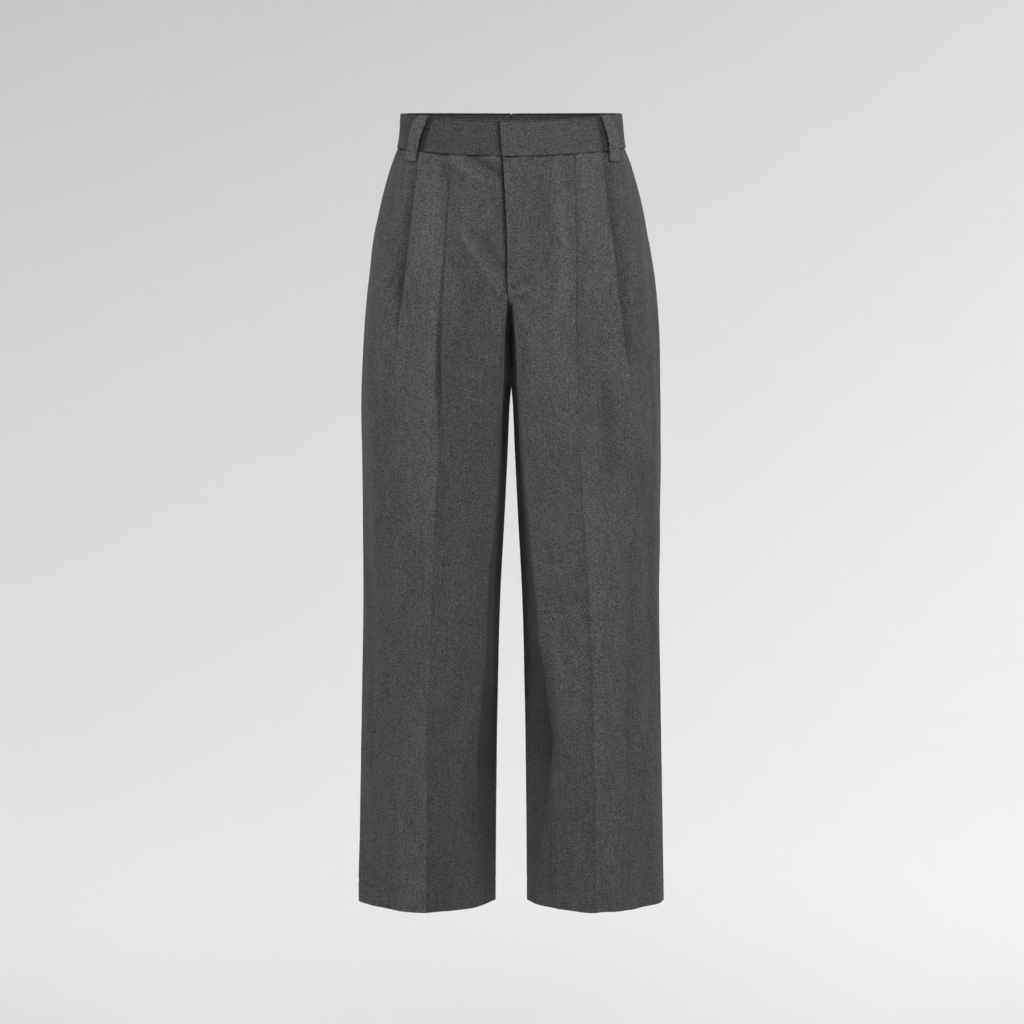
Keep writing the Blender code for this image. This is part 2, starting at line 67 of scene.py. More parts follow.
sections = {
    "columns": ("z", "side", "gap",
                "front", "frontCrest", "frontOuter", "frontInner",
                "back", "backCrest", "backOuter", "backInner"),
    "rows": (
        (0, 142.4, 0.2, 88.5, 0, 2.30, 3.00, 89, 0, 2.30, 2.60),
        (-44, 147.3, 0.2, 93.5, 0, 2.32, 3.20, 97, 3.9, 2.30, 2.60),
        (-60, 153.7, 0.2, 96, 2, 2.34, 3.30, 101, 9.8, 2.30, 2.60),
        (-83, 161.2, 0.2, 99, 6.9, 2.34, 3.40, 106, 17.6, 2.30, 2.60),
        (-117, 170.3, 0.2, 103, 19.6, 2.34, 3.70, 113, 31.4, 2.28, 2.60),
        (-176, 180.9, 0.2, 107.5, 47.2, 2.34, 4.20, 121, 57, 2.22, 2.70),
        (-235, 188.8, 0.2, 109.5, 69.9, 2.34, 4.60, 121, 76.8, 2.18, 2.80),
        (-279, 192.6, 0.25, 109.8, 81.8, 2.32, 4.60, 117, 87.7, 2.15, 2.80),
        (-324, 194.6, 0.3, 109.2, 86.9, 2.28, 4.30, 112.5, 93.8, 2.12, 2.70),
        (-355, 195.8, 0.5, 108.3, 88.9, 2.24, 4.00, 109.5, 96.8, 2.10, 2.60),
        (-378, 196.5, 2.3, 107.5, 90.4, 2.20, 3.70, 107.5, 98.4, 2.06, 2.50),
        (-443, 196.7, 5.2, 104.5, 93.1, 2.12, 2.90, 102.5, 101, 2.00, 2.30),
        (-513, 196.2, 8.6, 100.5, 97.2, 2.00, 2.40, 98.5, 102.4, 1.95, 2.15),
        (-643, 196.2, 15.3, 93, 103.6, 1.80, 2.00, 92, 105.8, 1.80, 1.90),
        (-779, 198.9, 18.7, 86, 108.5, 1.68, 1.77, 87, 108.9, 1.70, 1.72),
        (-917, 201.9, 20.6, 80, 111.3, 1.62, 1.66, 81, 111.3, 1.62, 1.62),
        (-1050, 204.7, 21.6, 75, 113, 1.60, 1.60, 76, 113, 1.55, 1.55),
    ),
}

parting = {
    "columns": ("z", "front", "back"),
    "rows": (
        (-44, 0.02, 0.02), (-117, 0.08, 0.12), (-176, 0.20, 0.34), (-210, 0.36, 0.53),
        (-231, 0.56, 0.67), (-241, 0.77, 0.75), (-249, 0.895, 0.82), (-258, 0.955, 0.89),
        (-269, 0.988, 0.955), (-279, 1.00, 1.00),
    ),
}

# Where each front turns from its face to the wall between the legs: distance
# out from the seam, and how much of the leg's depth is left there.
cornerLine = {
    "columns": ("z", "right", "left", "share", "power"),
    "rows": (
        (-226, 2.2, 0.3, 0.985, 3.0), (-236, 5.4, 0.5, 0.975, 3.0), (-244, 7.8, 0.7, 0.965, 3.0),
        (-253, 9.4, 1.0, 0.95, 3.0), (-266, 10.2, 1.6, 0.935, 3.0), (-279, 10.6, 2.4, 0.93, 3.0),
        (-300, 10.8, 4.0, 0.92, 3.0), (-325, 10.8, 5.8, 0.915, 3.0), (-346, 10.8, 7.2, 0.91, 3.0),
        (-367, 10.4, 7.8, 0.905, 3.0), (-419, 10.6, 9.4, 0.90, 2.8), (-471, 11.0, 10.4, 0.89, 2.6),
        (-523, 11.2, 11.6, 0.88, 2.4), (-576, 12.0, 13.0, 0.865, 2.3),
        (-628, 13.0, 14.6, 0.84, 2.1),
        (-681, 14.4, 16.4, 0.81, 2.0), (-734, 17.0, 20.0, 0.78, 1.9), (-787, 20.5, 25.4, 0.74, 1.9),
        (-840, 23.5, 31.0, 0.70, 1.8), (-893, 24.0, 30.0, 0.66, 1.8), (-960, 22.0, 18.0, 0.62, 1.8),
        (-1050, 20.0, 14.0, 0.60, 1.8),
    ),
}

creaseLines = {
    "columns": ("z", "creaseRight", "creaseLeft", "outerRight", "outerLeft"),
    "rows": (
        (-44, 78.3, 80.3, 115.6, 117.0), (-107, 80.0, 81.4, 122.6, 121.6),
        (-176, 84.0, 82.6, 130.7, 130.2), (-235, 86.6, 82.7, 139.8, 136.9),
        (-294, 89.2, 83.3, 146.9, 145.0), (-363, 89.9, 87.0, 152.2, 153.2),
        (-433, 93.8, 89.6, 154.4, 158.4), (-533, 99.1, 95.3, 154.9, 156.9),
        (-668, 104.9, 103.6, 155.5, 155.5), (-779, 109.4, 108.0, 156.9, 156.9),
        (-917, 111.4, 111.2, 158.5, 158.5), (-1050, 113.1, 112.1, 159.1, 159.1),
    ),
}

flyEdge = {
    "columns": ("z", "edge"),
    "rows": ((0, -13.7), (-44, -10.8), (-176, -4.9), (-230, -3.7), (-243, -1.4), (-256, 0.0)),
}


def tableColumn(table, name):
    if "read" not in table:
        ordered = sorted(table["rows"])
        table["read"] = {
            column: np.array([row[place] for row in ordered], float)
            for place, column in enumerate(table["columns"])
        }
    return table["read"][name]


def readTable(table, name, z):
    heights = tableColumn(table, "z")
    values = tableColumn(table, name)
    if z <= heights[0]:
        return float(values[0])
    if z >= heights[-1]:
        return float(values[-1])
    slope = np.gradient(values, heights)
    i = int(np.searchsorted(heights, z)) - 1
    span = heights[i + 1] - heights[i]
    t = (z - heights[i]) / span
    low = (1 + 2 * t) * (1 - t) ** 2 * values[i] + t * (1 - t) ** 2 * span * slope[i]
    high = t * t * (3 - 2 * t) * values[i + 1] + t * t * (t - 1) * span * slope[i + 1]
    return float(low + high)


def smooth(value):
    t = np.clip(value, 0.0, 1.0)
    return t * t * (3 - 2 * t)


def runOf(x, y, z=0.0):
    # distance along a line of points, from its start
    steps = np.hypot(np.diff(x), np.diff(y))
    if np.ndim(z):
        steps = np.hypot(steps, np.diff(z))
    return np.concatenate(([0.0], np.cumsum(steps)))


def unit(vector):
    return vector / np.linalg.norm(vector)


def dipAt(x, y, z):
    # the waist's level lines drop towards the centre front
    across = np.clip(1 - (x / readTable(sections, "side", z)) ** 2, 0, 1)
    front = y < 0
    drop = np.where(front, form["frontDip"], form["backDip"])
    depth = np.where(front, readTable(sections, "front", z), readTable(sections, "back", z))
    near = smooth(np.abs(y) / (0.6 * depth))
    fade = 1 - smooth((-form["bandHeight"] - z) / (-form["bandHeight"] - form["dipFades"]))
    return drop * across * near * fade


class SectionLine:
    # half of a level section, from the centre line or inseam to the outseam

    def __init__(self, z, toward, start=form["seamSet"], corner=None):
        self.z = z
        self.cornerX = 0.0
        self.facing = -1 if toward == "front" else 1
        side = readTable(sections, "side", z)
        gap = readTable(sections, "gap", z)
        crest = readTable(sections, toward + "Crest", z)
        outer = readTable(sections, toward + "Outer", z)
        inner = readTable(sections, toward + "Inner", z)
        outerReach = side - crest
        innerReach = max(crest - gap, 0.1) / readTable(parting, toward, z)
        offLeg = max(form["legLine"] - crest, 0.0) / outerReach
        depth = readTable(sections, toward, z) / (1 - offLeg ** outer) ** (1 / outer)
        turn = np.linspace(math.pi / 2, 0, 721)
        outerX = crest + outerReach * np.cos(turn) ** (2 / outer)
        outerY = depth * np.sin(turn) ** (2 / outer)
        turn = np.linspace(0, math.pi / 2, 1441)[:-1]
        innerX = crest - innerReach * np.cos(turn) ** (2 / inner)
        innerY = depth * np.sin(turn) ** (2 / inner)
        if corner and z < form["cornerStarts"]:
            innerX, innerY = self.cornered(innerX, innerY, crest, gap, depth, corner)
        x = np.concatenate((innerX, outerX))
        y = self.facing * np.concatenate((innerY, outerY))
        if start < 0:
            x, y = self.pastCentre(x, y, start)
        keep = (x >= start) & (np.abs(y) >= 0.17)
        self.x, self.y = x[keep], y[keep]
        if corner:
            self.soften()
        self.s = runOf(self.x, self.y)
        self.length = float(self.s[-1])

    def pastCentre(self, x, y, start):
        # the line runs on past the centre, level and without a corner there
        run = 60.0
        near = np.arange(start, run, 0.25)
        soften = 14.0 * (1 - smooth((-220.0 - self.z) / 24.0))
        reach = np.sqrt(near ** 2 + (soften * (1 - np.abs(near) / run)) ** 2)
        own = x > -1
        level = np.interp(reach, x[own], y[own])
        past = x > run
        return np.concatenate((near, x[past])), np.concatenate((level, y[past]))

    def cornered(self, innerX, innerY, crest, gap, depth, side):
        # a gently sloped face, a corner, and a wall back to the seam
        seamSet = form["seamSet"]
        place = max(gap, seamSet) * (self.z < form["crotch"])
        place += readTable(cornerLine, side, self.z)
        share = readTable(cornerLine, "share", self.z)
        seamX, seamY = (innerX[0], innerY[0])
        if seamX < seamSet:
            seamX, seamY = seamSet, float(np.interp(seamSet, innerX, innerY))
        if seamY >= share * depth:
            return innerX, innerY
        self.cornerX = place
        power = readTable(cornerLine, "power", self.z)
        reach = (crest - place) / (1 - share ** power) ** (1 / power)
        faceX = np.linspace(place, crest, 500)[:-1]
        faceY = depth * (1 - ((crest - faceX) / reach) ** power) ** (1 / power)
        t = np.linspace(0, 1, 400)[:-1]
        across = 0.93 * (1 - (1 - np.minimum(t / 0.62, 1)) ** 1.5) + 0.07 * t
        madeX = np.concatenate((seamX + (place - seamX) * across, faceX))
        madeY = np.concatenate((seamY + (faceY[0] - seamY) * t, faceY))
        fadeFrom, fadeOver = form["cornerFades"]
        fade = float(smooth((fadeFrom - self.z) / fadeOver))
        if fade == 0.0:
            return madeX, madeY
        plainX, plainY = self.evenly(innerX, innerY, 1200)
        madeX, madeY = self.evenly(madeX, madeY, 1200)
        return madeX + (plainX - madeX) * fade, madeY + (plainY - madeY) * fade

    def evenly(self, x, y, count):
        s = runOf(x, y)
        even = np.linspace(0, s[-1], count)
        return np.interp(even, s, x), np.interp(even, s, y)

    def soften(self):
        # the line at even steps with its corner rounded, its ends kept
        step = 0.3
        count = int(runOf(self.x, self.y)[-1] / step)
        reach = np.arange(-16, 17)
        weights = np.exp(-(reach * step / form["cornerRound"]) ** 2)
        weights /= weights.sum()
        made = []
        for line in self.evenly(self.x, self.y, count):
            before = 2 * line[0] - line[16:0:-1]
            after = 2 * line[-1] - line[-2:-18:-1]
            made.append(np.convolve(np.concatenate((before, line, after)), weights, "valid"))
        self.x, self.y = np.maximum.accumulate(made[0]), made[1]

    def along(self, x):
        return float(np.interp(x, self.x, self.s))

    def xAt(self, s):
        return np.interp(s, self.s, self.x)

    def tangent(self, s):
        ahead = np.minimum(s + 2.0, self.length)
        behind = np.maximum(s - 2.0, 0.0)
        alongX = np.interp(ahead, self.s, self.x) - np.interp(behind, self.s, self.x)
        alongY = np.interp(ahead, self.s, self.y) - np.interp(behind, self.s, self.y)
        size = np.hypot(alongX, alongY)
        return alongX / size, alongY / size

    def points(self, s, out):
        alongX, alongY = self.tangent(s)
        x = np.interp(s, self.s, self.x) - out * self.facing * alongY
        y = np.interp(s, self.s, self.y) + out * self.facing * alongX
        return np.column_stack((x, y))


# A panel's own small waves, the same on each run.
waves = {
    "seed": 11,
    "count": 26,
    "lengthAcross": (24.0, 120.0),
    "lengthDown": (160.0, 900.0),
    "height": 0.36,
}


def waveField(salt, u, v):
    rng = np.random.default_rng(waves["seed"] + salt)
    total = np.zeros(np.broadcast(u, v).shape)
    for _ in range(waves["count"]):
        across = rng.uniform(*waves["lengthAcross"]) * rng.choice((-1, 1))
        down = rng.uniform(*waves["lengthDown"])
        phase = rng.uniform(0, 2 * math.pi)
        size = math.sqrt(abs(across) / waves["lengthAcross"][1])
        total += size * np.sin(2 * math.pi * (u / across + v / down) + phase)
    return waves["height"] * total


# Sheets of cloth. A sheet is a grid of points on its middle layer: rows run
# down the cloth and columns across it.
def gridNormals(grid, hand):
    down = np.gradient(grid, axis=0)
    across = np.gradient(grid, axis=1)
    normal = hand * np.cross(down, across)
    size = np.linalg.norm(normal, axis=2, keepdims=True)
    return normal / np.maximum(size, 1e-12)


def borderLoop(rows, columns):
    top = [(0, j) for j in range(columns)]
    right = [(i, columns - 1) for i in range(1, rows)]
    bottom = [(rows - 1, j) for j in range(columns - 2, -1, -1)]
    left = [(i, 0) for i in range(rows - 2, 0, -1)]
    return top + right + bottom + left


def sheetFromGrid(name, grid, thickness, hand, uv, tone=None, edgeRings=1, lastEnd=1.0,
                  insideTone=None):
    # both skins of the cloth and its rounded edge, as one closed mesh; lastEnd
    # is how far the last column's edge bulges, of a half round
    rows, columns = grid.shape[:2]
    tone = np.ones((rows, columns)) if tone is None else tone
    inside = tone if insideTone is None else np.full(tone.shape, insideTone)
    tones = [tone.ravel(), inside.ravel()]
    normal = gridNormals(grid, hand)
    half = thickness / 2
    points = [(grid + half * normal).reshape(-1, 3), (grid - half * normal).reshape(-1, 3)]
    count = rows * columns
    index = np.arange(count).reshape(rows, columns)
    quads = np.stack((index[:-1, :-1], index[1:, :-1], index[1:, 1:], index[:-1, 1:]), axis=-1)
    quads = quads.reshape(-1, 4)
    if hand < 0:
        quads = quads[:, ::-1]
    faces = [quads, quads[:, ::-1] + count]
    loop = borderLoop(rows, columns)
    rings = [np.array([index[i, j] for i, j in loop])]
    uvs = [uv.reshape(-1, 2), uv.reshape(-1, 2)]
    base = 2 * count
    for ring in range(1, edgeRings + 1):
        angle = math.pi * ring / (edgeRings + 1)
        made = []
        for i, j in loop:
            away = np.zeros(3)
            if i in (0, rows - 1):
                away += unit(grid[i, j] - grid[min(max(i, 1), rows - 2), j])
            if j in (0, columns - 1):
                bulge = lastEnd if j else 1.0
                away += bulge * unit(grid[i, j] - grid[i, min(max(j, 1), columns - 2)])
            away /= max(np.linalg.norm(away), 1.0)
            reach = math.sin(angle) * away + math.cos(angle) * normal[i, j]
            made.append(grid[i, j] + half * reach)
        points.append(np.array(made))
        uvs.append(np.array([uv[i, j] for i, j in loop]))
        tones.append(np.array([tone[i, j] for i, j in loop]))
        rings.append(base + np.arange(len(loop)))
        base += len(loop)
    rings.append(rings[0] + count)
    for ring, following in zip(rings, rings[1:]):
        strip = np.stack((ring, np.roll(ring, -1), np.roll(following, -1), following), axis=-1)
        faces.append(strip if hand < 0 else strip[:, ::-1])
    piece = addMesh(name, np.vstack(points), np.vstack(faces), np.vstack(uvs))
    # painted shade and painted highlights of each point, multiplied into the base colour
    layer = piece.data.attributes.new("paintedLightAndShade", "FLOAT", "POINT")
    layer.data.foreach_set("value", np.concatenate(tones).astype(np.float32))
    return piece


def addMesh(name, points, faces, uvs=None):
    mesh = bpy.data.meshes.new(name)
    mesh.vertices.add(len(points))
    mesh.vertices.foreach_set("co", (points * mm).astype(np.float32).ravel())
    mesh.loops.add(faces.size)
    mesh.loops.foreach_set("vertex_index", faces.astype(np.int32).ravel())
    mesh.polygons.add(len(faces))
    starts = np.arange(len(faces), dtype=np.int32) * faces.shape[1]
    mesh.polygons.foreach_set("loop_start", starts)
    mesh.update(calc_edges=True)
    mesh.validate()
    if uvs is not None:
        layer = mesh.uv_layers.new(name="cloth")
        layer.data.foreach_set("uv", (uvs[faces.ravel()] * mm).astype(np.float32).ravel())
    mesh.shade_smooth()
    piece = bpy.data.objects.new(name, mesh)
    bpy.context.scene.collection.objects.link(piece)
    return piece


# The two fronts.
fronts = {
    "thickness": 0.6,
    "raise": 0.3,               # keeps the cloth's face where the solid's is
    "layer": 0.85,              # from one layer of a pleat to the next
    "rise": 12.0,
    "fall": 18.0,
    "opens": 46.0,
    "tuckTop": -35.0,           # the cloth runs on up inside the waistband
    "tuck": 2.2,                # and steps in by this much
    "hemDepth": 28.0,
    "hemGroove": 0.5,
    "foldTone": 0.032,          # painted highlight on fold and wave crests, painted shade in their hollows, per mm
    "waveTone": 0.025,
}

fly = {
    "drop": 4.0,                # how deep the right front lies under the lap
    "dropRun": 16.0,
    "puff": 0.8,
    "contactShade": 0.78,       # painted shadow beside the lap's edge, and how wide
    "contactRun": 3.4,
    "softShade": 0.10,
    "softRun": 12.0,
}

pleats = {
    "rightcrease": {"depth": 17.0, "end": -358.0, "ridge": 1.5, "spread": 3.0, "width": 9.0},
    "rightouter": {"depth": 17.0, "end": -231.0, "ridge": 0.0, "spread": 8.0, "width": 10.0},
    "leftcrease": {"depth": 15.0, "end": -256.0, "ridge": 1.5, "spread": 3.0, "width": 10.0},
    "leftouter": {"depth": 17.0, "end": -294.0, "ridge": 0.0, "spread": 8.0, "width": 10.0},
}

# The hollow beside each pleat's folded edge, and the roll of cloth on its
# other side, by height.
hollows = {
    "columns": ("z", "rightcrease", "rightouter", "leftcrease", "leftouter"),
    "rows": (
        (-46, 0.0, 1.0, 0.0, 0.4), (-90, 0.5, 5.4, 0.0, 3.6), (-140, 1.0, 8.4, 0.1, 6.2),
        (-190, 1.8, 9.4, 0.2, 7.8), (-230, 3.2, 7.4, 0.4, 7.8), (-262, 4.8, 2.6, 0.4, 6.8),
        (-300, 5.6, 0.6, 0.4, 4.6), (-340, 6.0, 0.0, 0.3, 1.4), (-365, 4.6, 0.0, 0.0, 0.0),
        (-400, 1.6, 0.0, 0.0, 0.0), (-450, 0.0, 0.0, 0.0, 0.0),
    ),
}

# Painted highlight just outside the pressed crease, painted shade inside it,
# and painted light and shade near the top.
paintedCreaseShading = {
    "right": {"outside": 0.09, "groove": 0.06, "inside": 0.11, "upper": 0.0},
    "left": {"outside": 0.07, "groove": 0.12, "inside": 0.03, "upper": 0.05},
}

# Painted shade and painted light on the wall between the legs, as a share of
# the face's; seamLift is painted light on the wall next to the seam.
wallTone = {
    "columns": ("z", "right", "left", "seamLift"),
    "rows": (
        (-227, 0.7, 0.9, 0.0), (-240, 0.6, 0.9, 0.0), (-262, 1.1, 1.1, 0.0), (-290, 1.7, 1.7, 0.0),
        (-370, 1.7, 1.7, 0.0), (-440, 1.1, 1.1, 0.0), (-520, 0.72, 0.70, 0.0),
        (-650, 0.54, 0.54, 0.0),
        (-700, 0.50, 0.50, 0.1), (-790, 0.44, 0.46, 0.7), (-850, 0.48, 0.50, 0.9),
        (-940, 0.56, 0.74, 0.3), (-1050, 0.66, 0.86, 0.0),
    ),
}

# Painted shade and light on the cloth inside and outside each crease, painted
# light on the strip between the pleats, and painted shade at the side of the leg.
panelShade = {
    "columns": ("z", "rightOuter", "rightInner", "leftInner", "leftOuter",
                "rightStrip", "leftStrip", "rightRim", "leftRim"),
    "rows": (
        (-46, 1.02, 0.98, 0.97, 1.03, 0.06, 0.06, 0.0, 0.0),
        (-200, 1.06, 0.97, 0.97, 1.03, 0.03, 0.05, 0.0, 0.0),
        (-296, 1.04, 0.87, 1.02, 1.00, 0.01, 0.01, 0.05, 0.08),
        (-413, 1.05, 0.89, 1.01, 0.99, 0.0, 0.0, 0.06, 0.10),
        (-517, 1.02, 0.92, 1.02, 1.05, 0.0, 0.0, 0.08, 0.18),
        (-622, 0.98, 0.93, 1.02, 1.04, 0.0, 0.0, 0.08, 0.18),
        (-727, 0.97, 0.93, 1.03, 0.98, 0.0, 0.0, 0.09, 0.16),
        (-834, 0.95, 0.90, 1.00, 0.97, 0.0, 0.0, 0.03, 0.12),
        (-927, 0.96, 0.865, 0.92, 0.92, 0.0, 0.0, 0.0, 0.04),
        (-1050, 0.92, 0.84, 0.90, 0.91, 0.0, 0.0, 0.0, 0.03),
    ),
}

# painted shade and light across a front panel at one height
def panelTone(side, z, s, x, creaseS, outerS):
    inner = readTable(panelShade, side + "Inner", z)
    outer = readTable(panelShade, side + "Outer", z)
    past = smooth((s - creaseS + 0.8) / 1.6)
    strip = readTable(panelShade, side + "Strip", z) * (1 - smooth((s - outerS) / 2.0))
    rim = smooth((x / readTable(sections, "side", z) - 0.72) / 0.24)
    rim = 1 - readTable(panelShade, side + "Rim", z) * rim
    return (inner + (outer + strip - inner) * past) * rim


# How far each pressed crease stands out of the leg's round, by height.
creasePress = {
    "columns": ("z", "front", "back"),
    "rows": (
        (-44, 0.0, 0.0), (-120, 0.6, 0.0), (-240, 1.6, 0.6), (-360, 2.6, 2.0),
        (-500, 3.6, 3.0), (-700, 4.4, 3.6), (-900, 3.8, 3.4), (-1050, 1.0, 1.2),
    ),
}

# Soft folds: from (x, z) to (x, z) on a panel, height and half width.
folds = {
    "frontright": (
        (84, -50, 14, -88, 4.6, 7.0), (54, -48, 12, -73, -4.4, 5.5), (70, -84, 24, -118, -1.8, 9.0),
        (68, -144, 14, -228, 5.4, 9.0), (50, -142, 8, -202, -4.2, 8.0),
        (82, -170, 40, -246, -2.4, 12.0), (102, -60, 106, -190, 2.4, 10.0),
        (146, -245, 158, -373, 3.5, 15), (30, -754, 30, -1009, -2.0, 14),
    ),
    "frontleft": (
        (62, -60, 66, -262, 7.6, 12), (34, -60, 34, -214, -3.4, 12),
        (3, -222, 27, -208, -4.4, 4.6), (2, -229, 21, -224, 4.0, 3.6),
        (9, -233, 22, -241, -3.0, 3.2), (8, -256, 24, -275, 2.6, 6.0),
        (12, -90, 14, -190, 1.8, 9.0), (96, -64, 101, -200, 2.0, 12),
        (148, -312, 169, -445, 5.4, 12), (126, -343, 139, -473, -4.6, 11),
        (20, -500, 34, -700, -1.6, 12), (36, -700, 54, -850, -5.0, 8.5),
    ),
    "backright": (
        (73, -294, 148, -324, -1.8, 24), (65, -381, 158, -411, -1.8, 24),
        (149, -553, 50, -633, 2.0, 26),
    ),
    "backleft": (
        (77, -300, 150, -322, -2.0, 24), (63, -391, 154, -429, -1.8, 24),
        (147, -593, 54, -683, 2.0, 26),
    ),
}


def foldRelief(panel, x, z):
    total = np.zeros(np.shape(x))
    for xTop, zTop, xLow, zLow, height, width in folds[panel]:
        runX = xLow - xTop
        runZ = zLow - zTop
        length = math.hypot(runX, runZ)
        t = ((x - xTop) * runX + (z - zTop) * runZ) / length ** 2
        off = np.abs((x - xTop) * runZ - (z - zTop) * runX) / length
        ends = smooth((t + 0.15) / 0.35) * smooth((1.15 - t) / 0.35)
        total += height * ends * np.exp(-(off / width) ** 2)
    return total


def roundedPath(corners, counts, radius):
    # a path through corners, each rounded, with a fixed number of points
    corners = np.array(corners, float)
    steps = np.diff(corners, axis=0)
    lengths = np.linalg.norm(steps, axis=1)
    ways = steps / np.maximum(lengths, 1e-9)[:, None]
    cut = np.minimum(np.minimum(lengths[:-1], lengths[1:]) / 2, radius)
    made = []
    for i in range(len(steps)):
        first = corners[i] + ways[i] * (cut[i - 1] if i > 0 else 0)
        last = corners[i + 1] - ways[i] * (cut[i] if i < len(cut) else 0)
        straight = np.linspace(0, 1, counts[2 * i] + 1)
        skipped = 2 if i == len(steps) - 1 else 1
        straight = straight[:-1] if i == 0 else straight[skipped:]
        made += [first + (last - first) * t for t in straight]
        if i < len(cut):
            corner = corners[i + 1]
            nextWay = corner + ways[i + 1] * cut[i]
            for t in np.linspace(0, 1, counts[2 * i + 1]):
                made.append((1 - t) ** 2 * last + 2 * t * (1 - t) * corner + t * t * nextWay)
    return np.array(made)


# Painted shadow beside each pleat's folded edge, a painted highlight on the
# outer fold's edge, and how deep the hollow and roll are.
pleatShade = {
    "crease": 0.44,
    "creaseRun": 3.2,
    "outer": 0.56,
    "outerRun": 5.0,
    "paintedEdgeLight": 0.08,                # painted highlight on the outer fold's edge
    "rollShare": 0.38,
    "hollowShare": 0.85,
}


def facets(s, crease, length):
    # the flat of the leg on each side of a crease, none at the seams
    middle = smooth((s - 8.0) / 40.0) * smooth((length - s) / 40.0)
    return (np.exp(-np.abs(s - crease) / 30.0) - 0.45) * middle


def beside(off, run):
    # 1 just past a crease, fading over the run
    return np.exp(-np.maximum(off, 0) / run) * smooth((off + 0.5) / 1.5)


class Pleat:
    # one pleat at one height: its folded path, and the slope of cloth round it

    foldCounts = (8, 4, 2, 4, 4, 4, 2, 4, 8)

    def __init__(self, side, name, line):
        size = pleats[side + name]
        z = line.z
        layer = fronts["layer"]
        band = form["bandHeight"]
        self.s = line.along(readTable(creaseLines, name + side.capitalize(), z))
        flat = math.sin(math.pi / 2 * np.clip((size["end"] - z) / fronts["opens"], 0, 1))
        down = np.clip((-band - z) / (-band - size["end"]), 0, 1)
        deep = size["depth"] * (1 - down) + 1.5 - 2.7 * smooth((down - 0.8) / 0.2)
        top = max(deep, 0.0)
        places = (-top - 4.0, 0.0, 0.0, -deep, -deep, 4.0 + max(-deep, 0.0))
        heights = (1.0, 1.0, 0.0, 0.0, -1.0, -1.0)
        spreads = (-2.2, -0.9, -0.3, 0.3, 0.9, 2.6)
        corners = []
        for place, height, spread in zip(places, heights, spreads):
            offset = place * (1 - flat) + spread * size["spread"] * flat
            corners.append((self.s + offset, height * layer * (1 - flat)))
        self.path = roundedPath(corners, self.foldCounts, 1.2)
        self.start = corners[0][0]
        self.end = corners[-1][0]
        self.lift = layer * (1 - flat)
        self.ridge = size["ridge"] * float(smooth((size["end"] - z) / 120.0 + 0.3)) * flat
        self.facet = readTable(creasePress, "front", z) if name == "crease" else 0.0
        self.hollow = readTable(hollows, side + name, z)
        self.width = size["width"]
        self.length = line.length

    def relief(self, s):
        before = self.start - s
        after = s - self.end
        up = np.where(before >= 0, smooth(1 - before / fronts["rise"]), 0.0)
        down = np.where(after >= 0, smooth(1 - after / fronts["fall"]), 0.0)
        return self.lift * (up - down)

    def tone(self, s, z, side):
        # painted highlight just outside the crease, painted shade inside it, and a
        # painted shadow beside the pleat's folded edge
        off = s - self.s
        low = float(smooth((-300.0 - z) / 160.0))
        paintedShading = paintedCreaseShading[side]
        outside = paintedShading["outside"] * beside(off, 16.0)
        inside = paintedShading["groove"] * beside(-off, 7.0) + paintedShading["inside"] * smooth((0.5 - off) / 1.5)
        upper = paintedShading["upper"] * (1 - low) * smooth((-60.0 - z) / 80.0)
        upper = upper * np.exp(-(off / 22.0) ** 2) * (1 - 2 * smooth((off + 1.0) / 2.0))
        under = pleatShade["crease"] * np.minimum(self.hollow / 4.0 + 0.35 * self.lift, 1.0)
        under = under * np.exp(-(np.maximum(off, 0) / pleatShade["creaseRun"]) ** 2)
        return low * (outside - inside) + upper - under * smooth((off + 0.3) / 0.6)

    def underTone(self, s):
        # painted shadow beside the outer pleat's folded edge, painted highlight on the edge
        off = s - self.s
        under = pleatShade["outer"] * np.minimum(self.hollow / 5.0 + 0.15 * self.lift, 1.0)
        under = under * np.exp(-np.maximum(off, 0) / pleatShade["outerRun"])
        paintedEdgeLight = pleatShade["paintedEdgeLight"] * self.lift * np.exp(-np.maximum(-off, 0) / 3.0)
        return paintedEdgeLight * smooth((0.3 - off) / 0.6) - under * smooth((off + 0.3) / 0.6)

    def crest(self, s):
        # the pressed crease, sharp on its line, with a flat facet on each side
        sharp = self.ridge * np.exp(-np.abs(s - self.s) / 7.0)
        return sharp + self.facet * facets(s, self.s, self.length)

    def opened(self, s):
        # the hollow outside the folded edge, the roll of cloth inside it
        off = s - self.s
        hollow = smooth(off / 2.0) * np.exp(-(np.maximum(off - 2.0, 0) / self.width) ** 2)
        roll = np.exp(-(np.minimum(off + 1.0, 0) / 11.0) ** 2) * (1 - smooth((off - 0.2) / 1.5))
        return self.hollow * (pleatShade["rollShare"] * roll - pleatShade["hollowShare"] * hollow)


def lapAt(z):
    # 1 where the fly lap lies over the right front, 0 below it
    return 1 - float(smooth((form["flyEnd"] - 1 - z) / 9.0))


def frontStart(side, z):
    # where a front begins, counted out from the centre line
    edge = readTable(flyEdge, "edge", z)
    if side == "left":
        return edge + form["seamSet"]
    plain = form["seamSet"] - edge
    return plain - lapAt(z) * (plain + form["underlap"])


def underlapDrop(side, x, z):
    if side == "left":
        return np.zeros(np.shape(x))
    past = x + readTable(flyEdge, "edge", z) - 1.5
    return fly["drop"] * lapAt(z) * (1 - smooth(past / fly["dropRun"]))


def mouthSet(z):
    # pocket mouth to outseam, along the cloth
    t = (z + form["bandHeight"]) / (form["mouthEnd"] + form["bandHeight"])
    return form["mouthTopSet"] + (form["mouthEndSet"] - form["mouthTopSet"]) * t


def tuckUnderBand(z):
    # how far the cloth steps in to run up inside the waistband
    return fronts["tuck"] * float(smooth((z + form["bandHeight"] + 1.6) / 2.6))


def hemGroove(z):
    # the blind stitches pull the cloth in a little, a hem's depth above its edge
    over = z + form["outseam"] - fronts["hemDepth"]
    return fronts["hemGroove"] * math.exp(-(over / 1.8) ** 2)


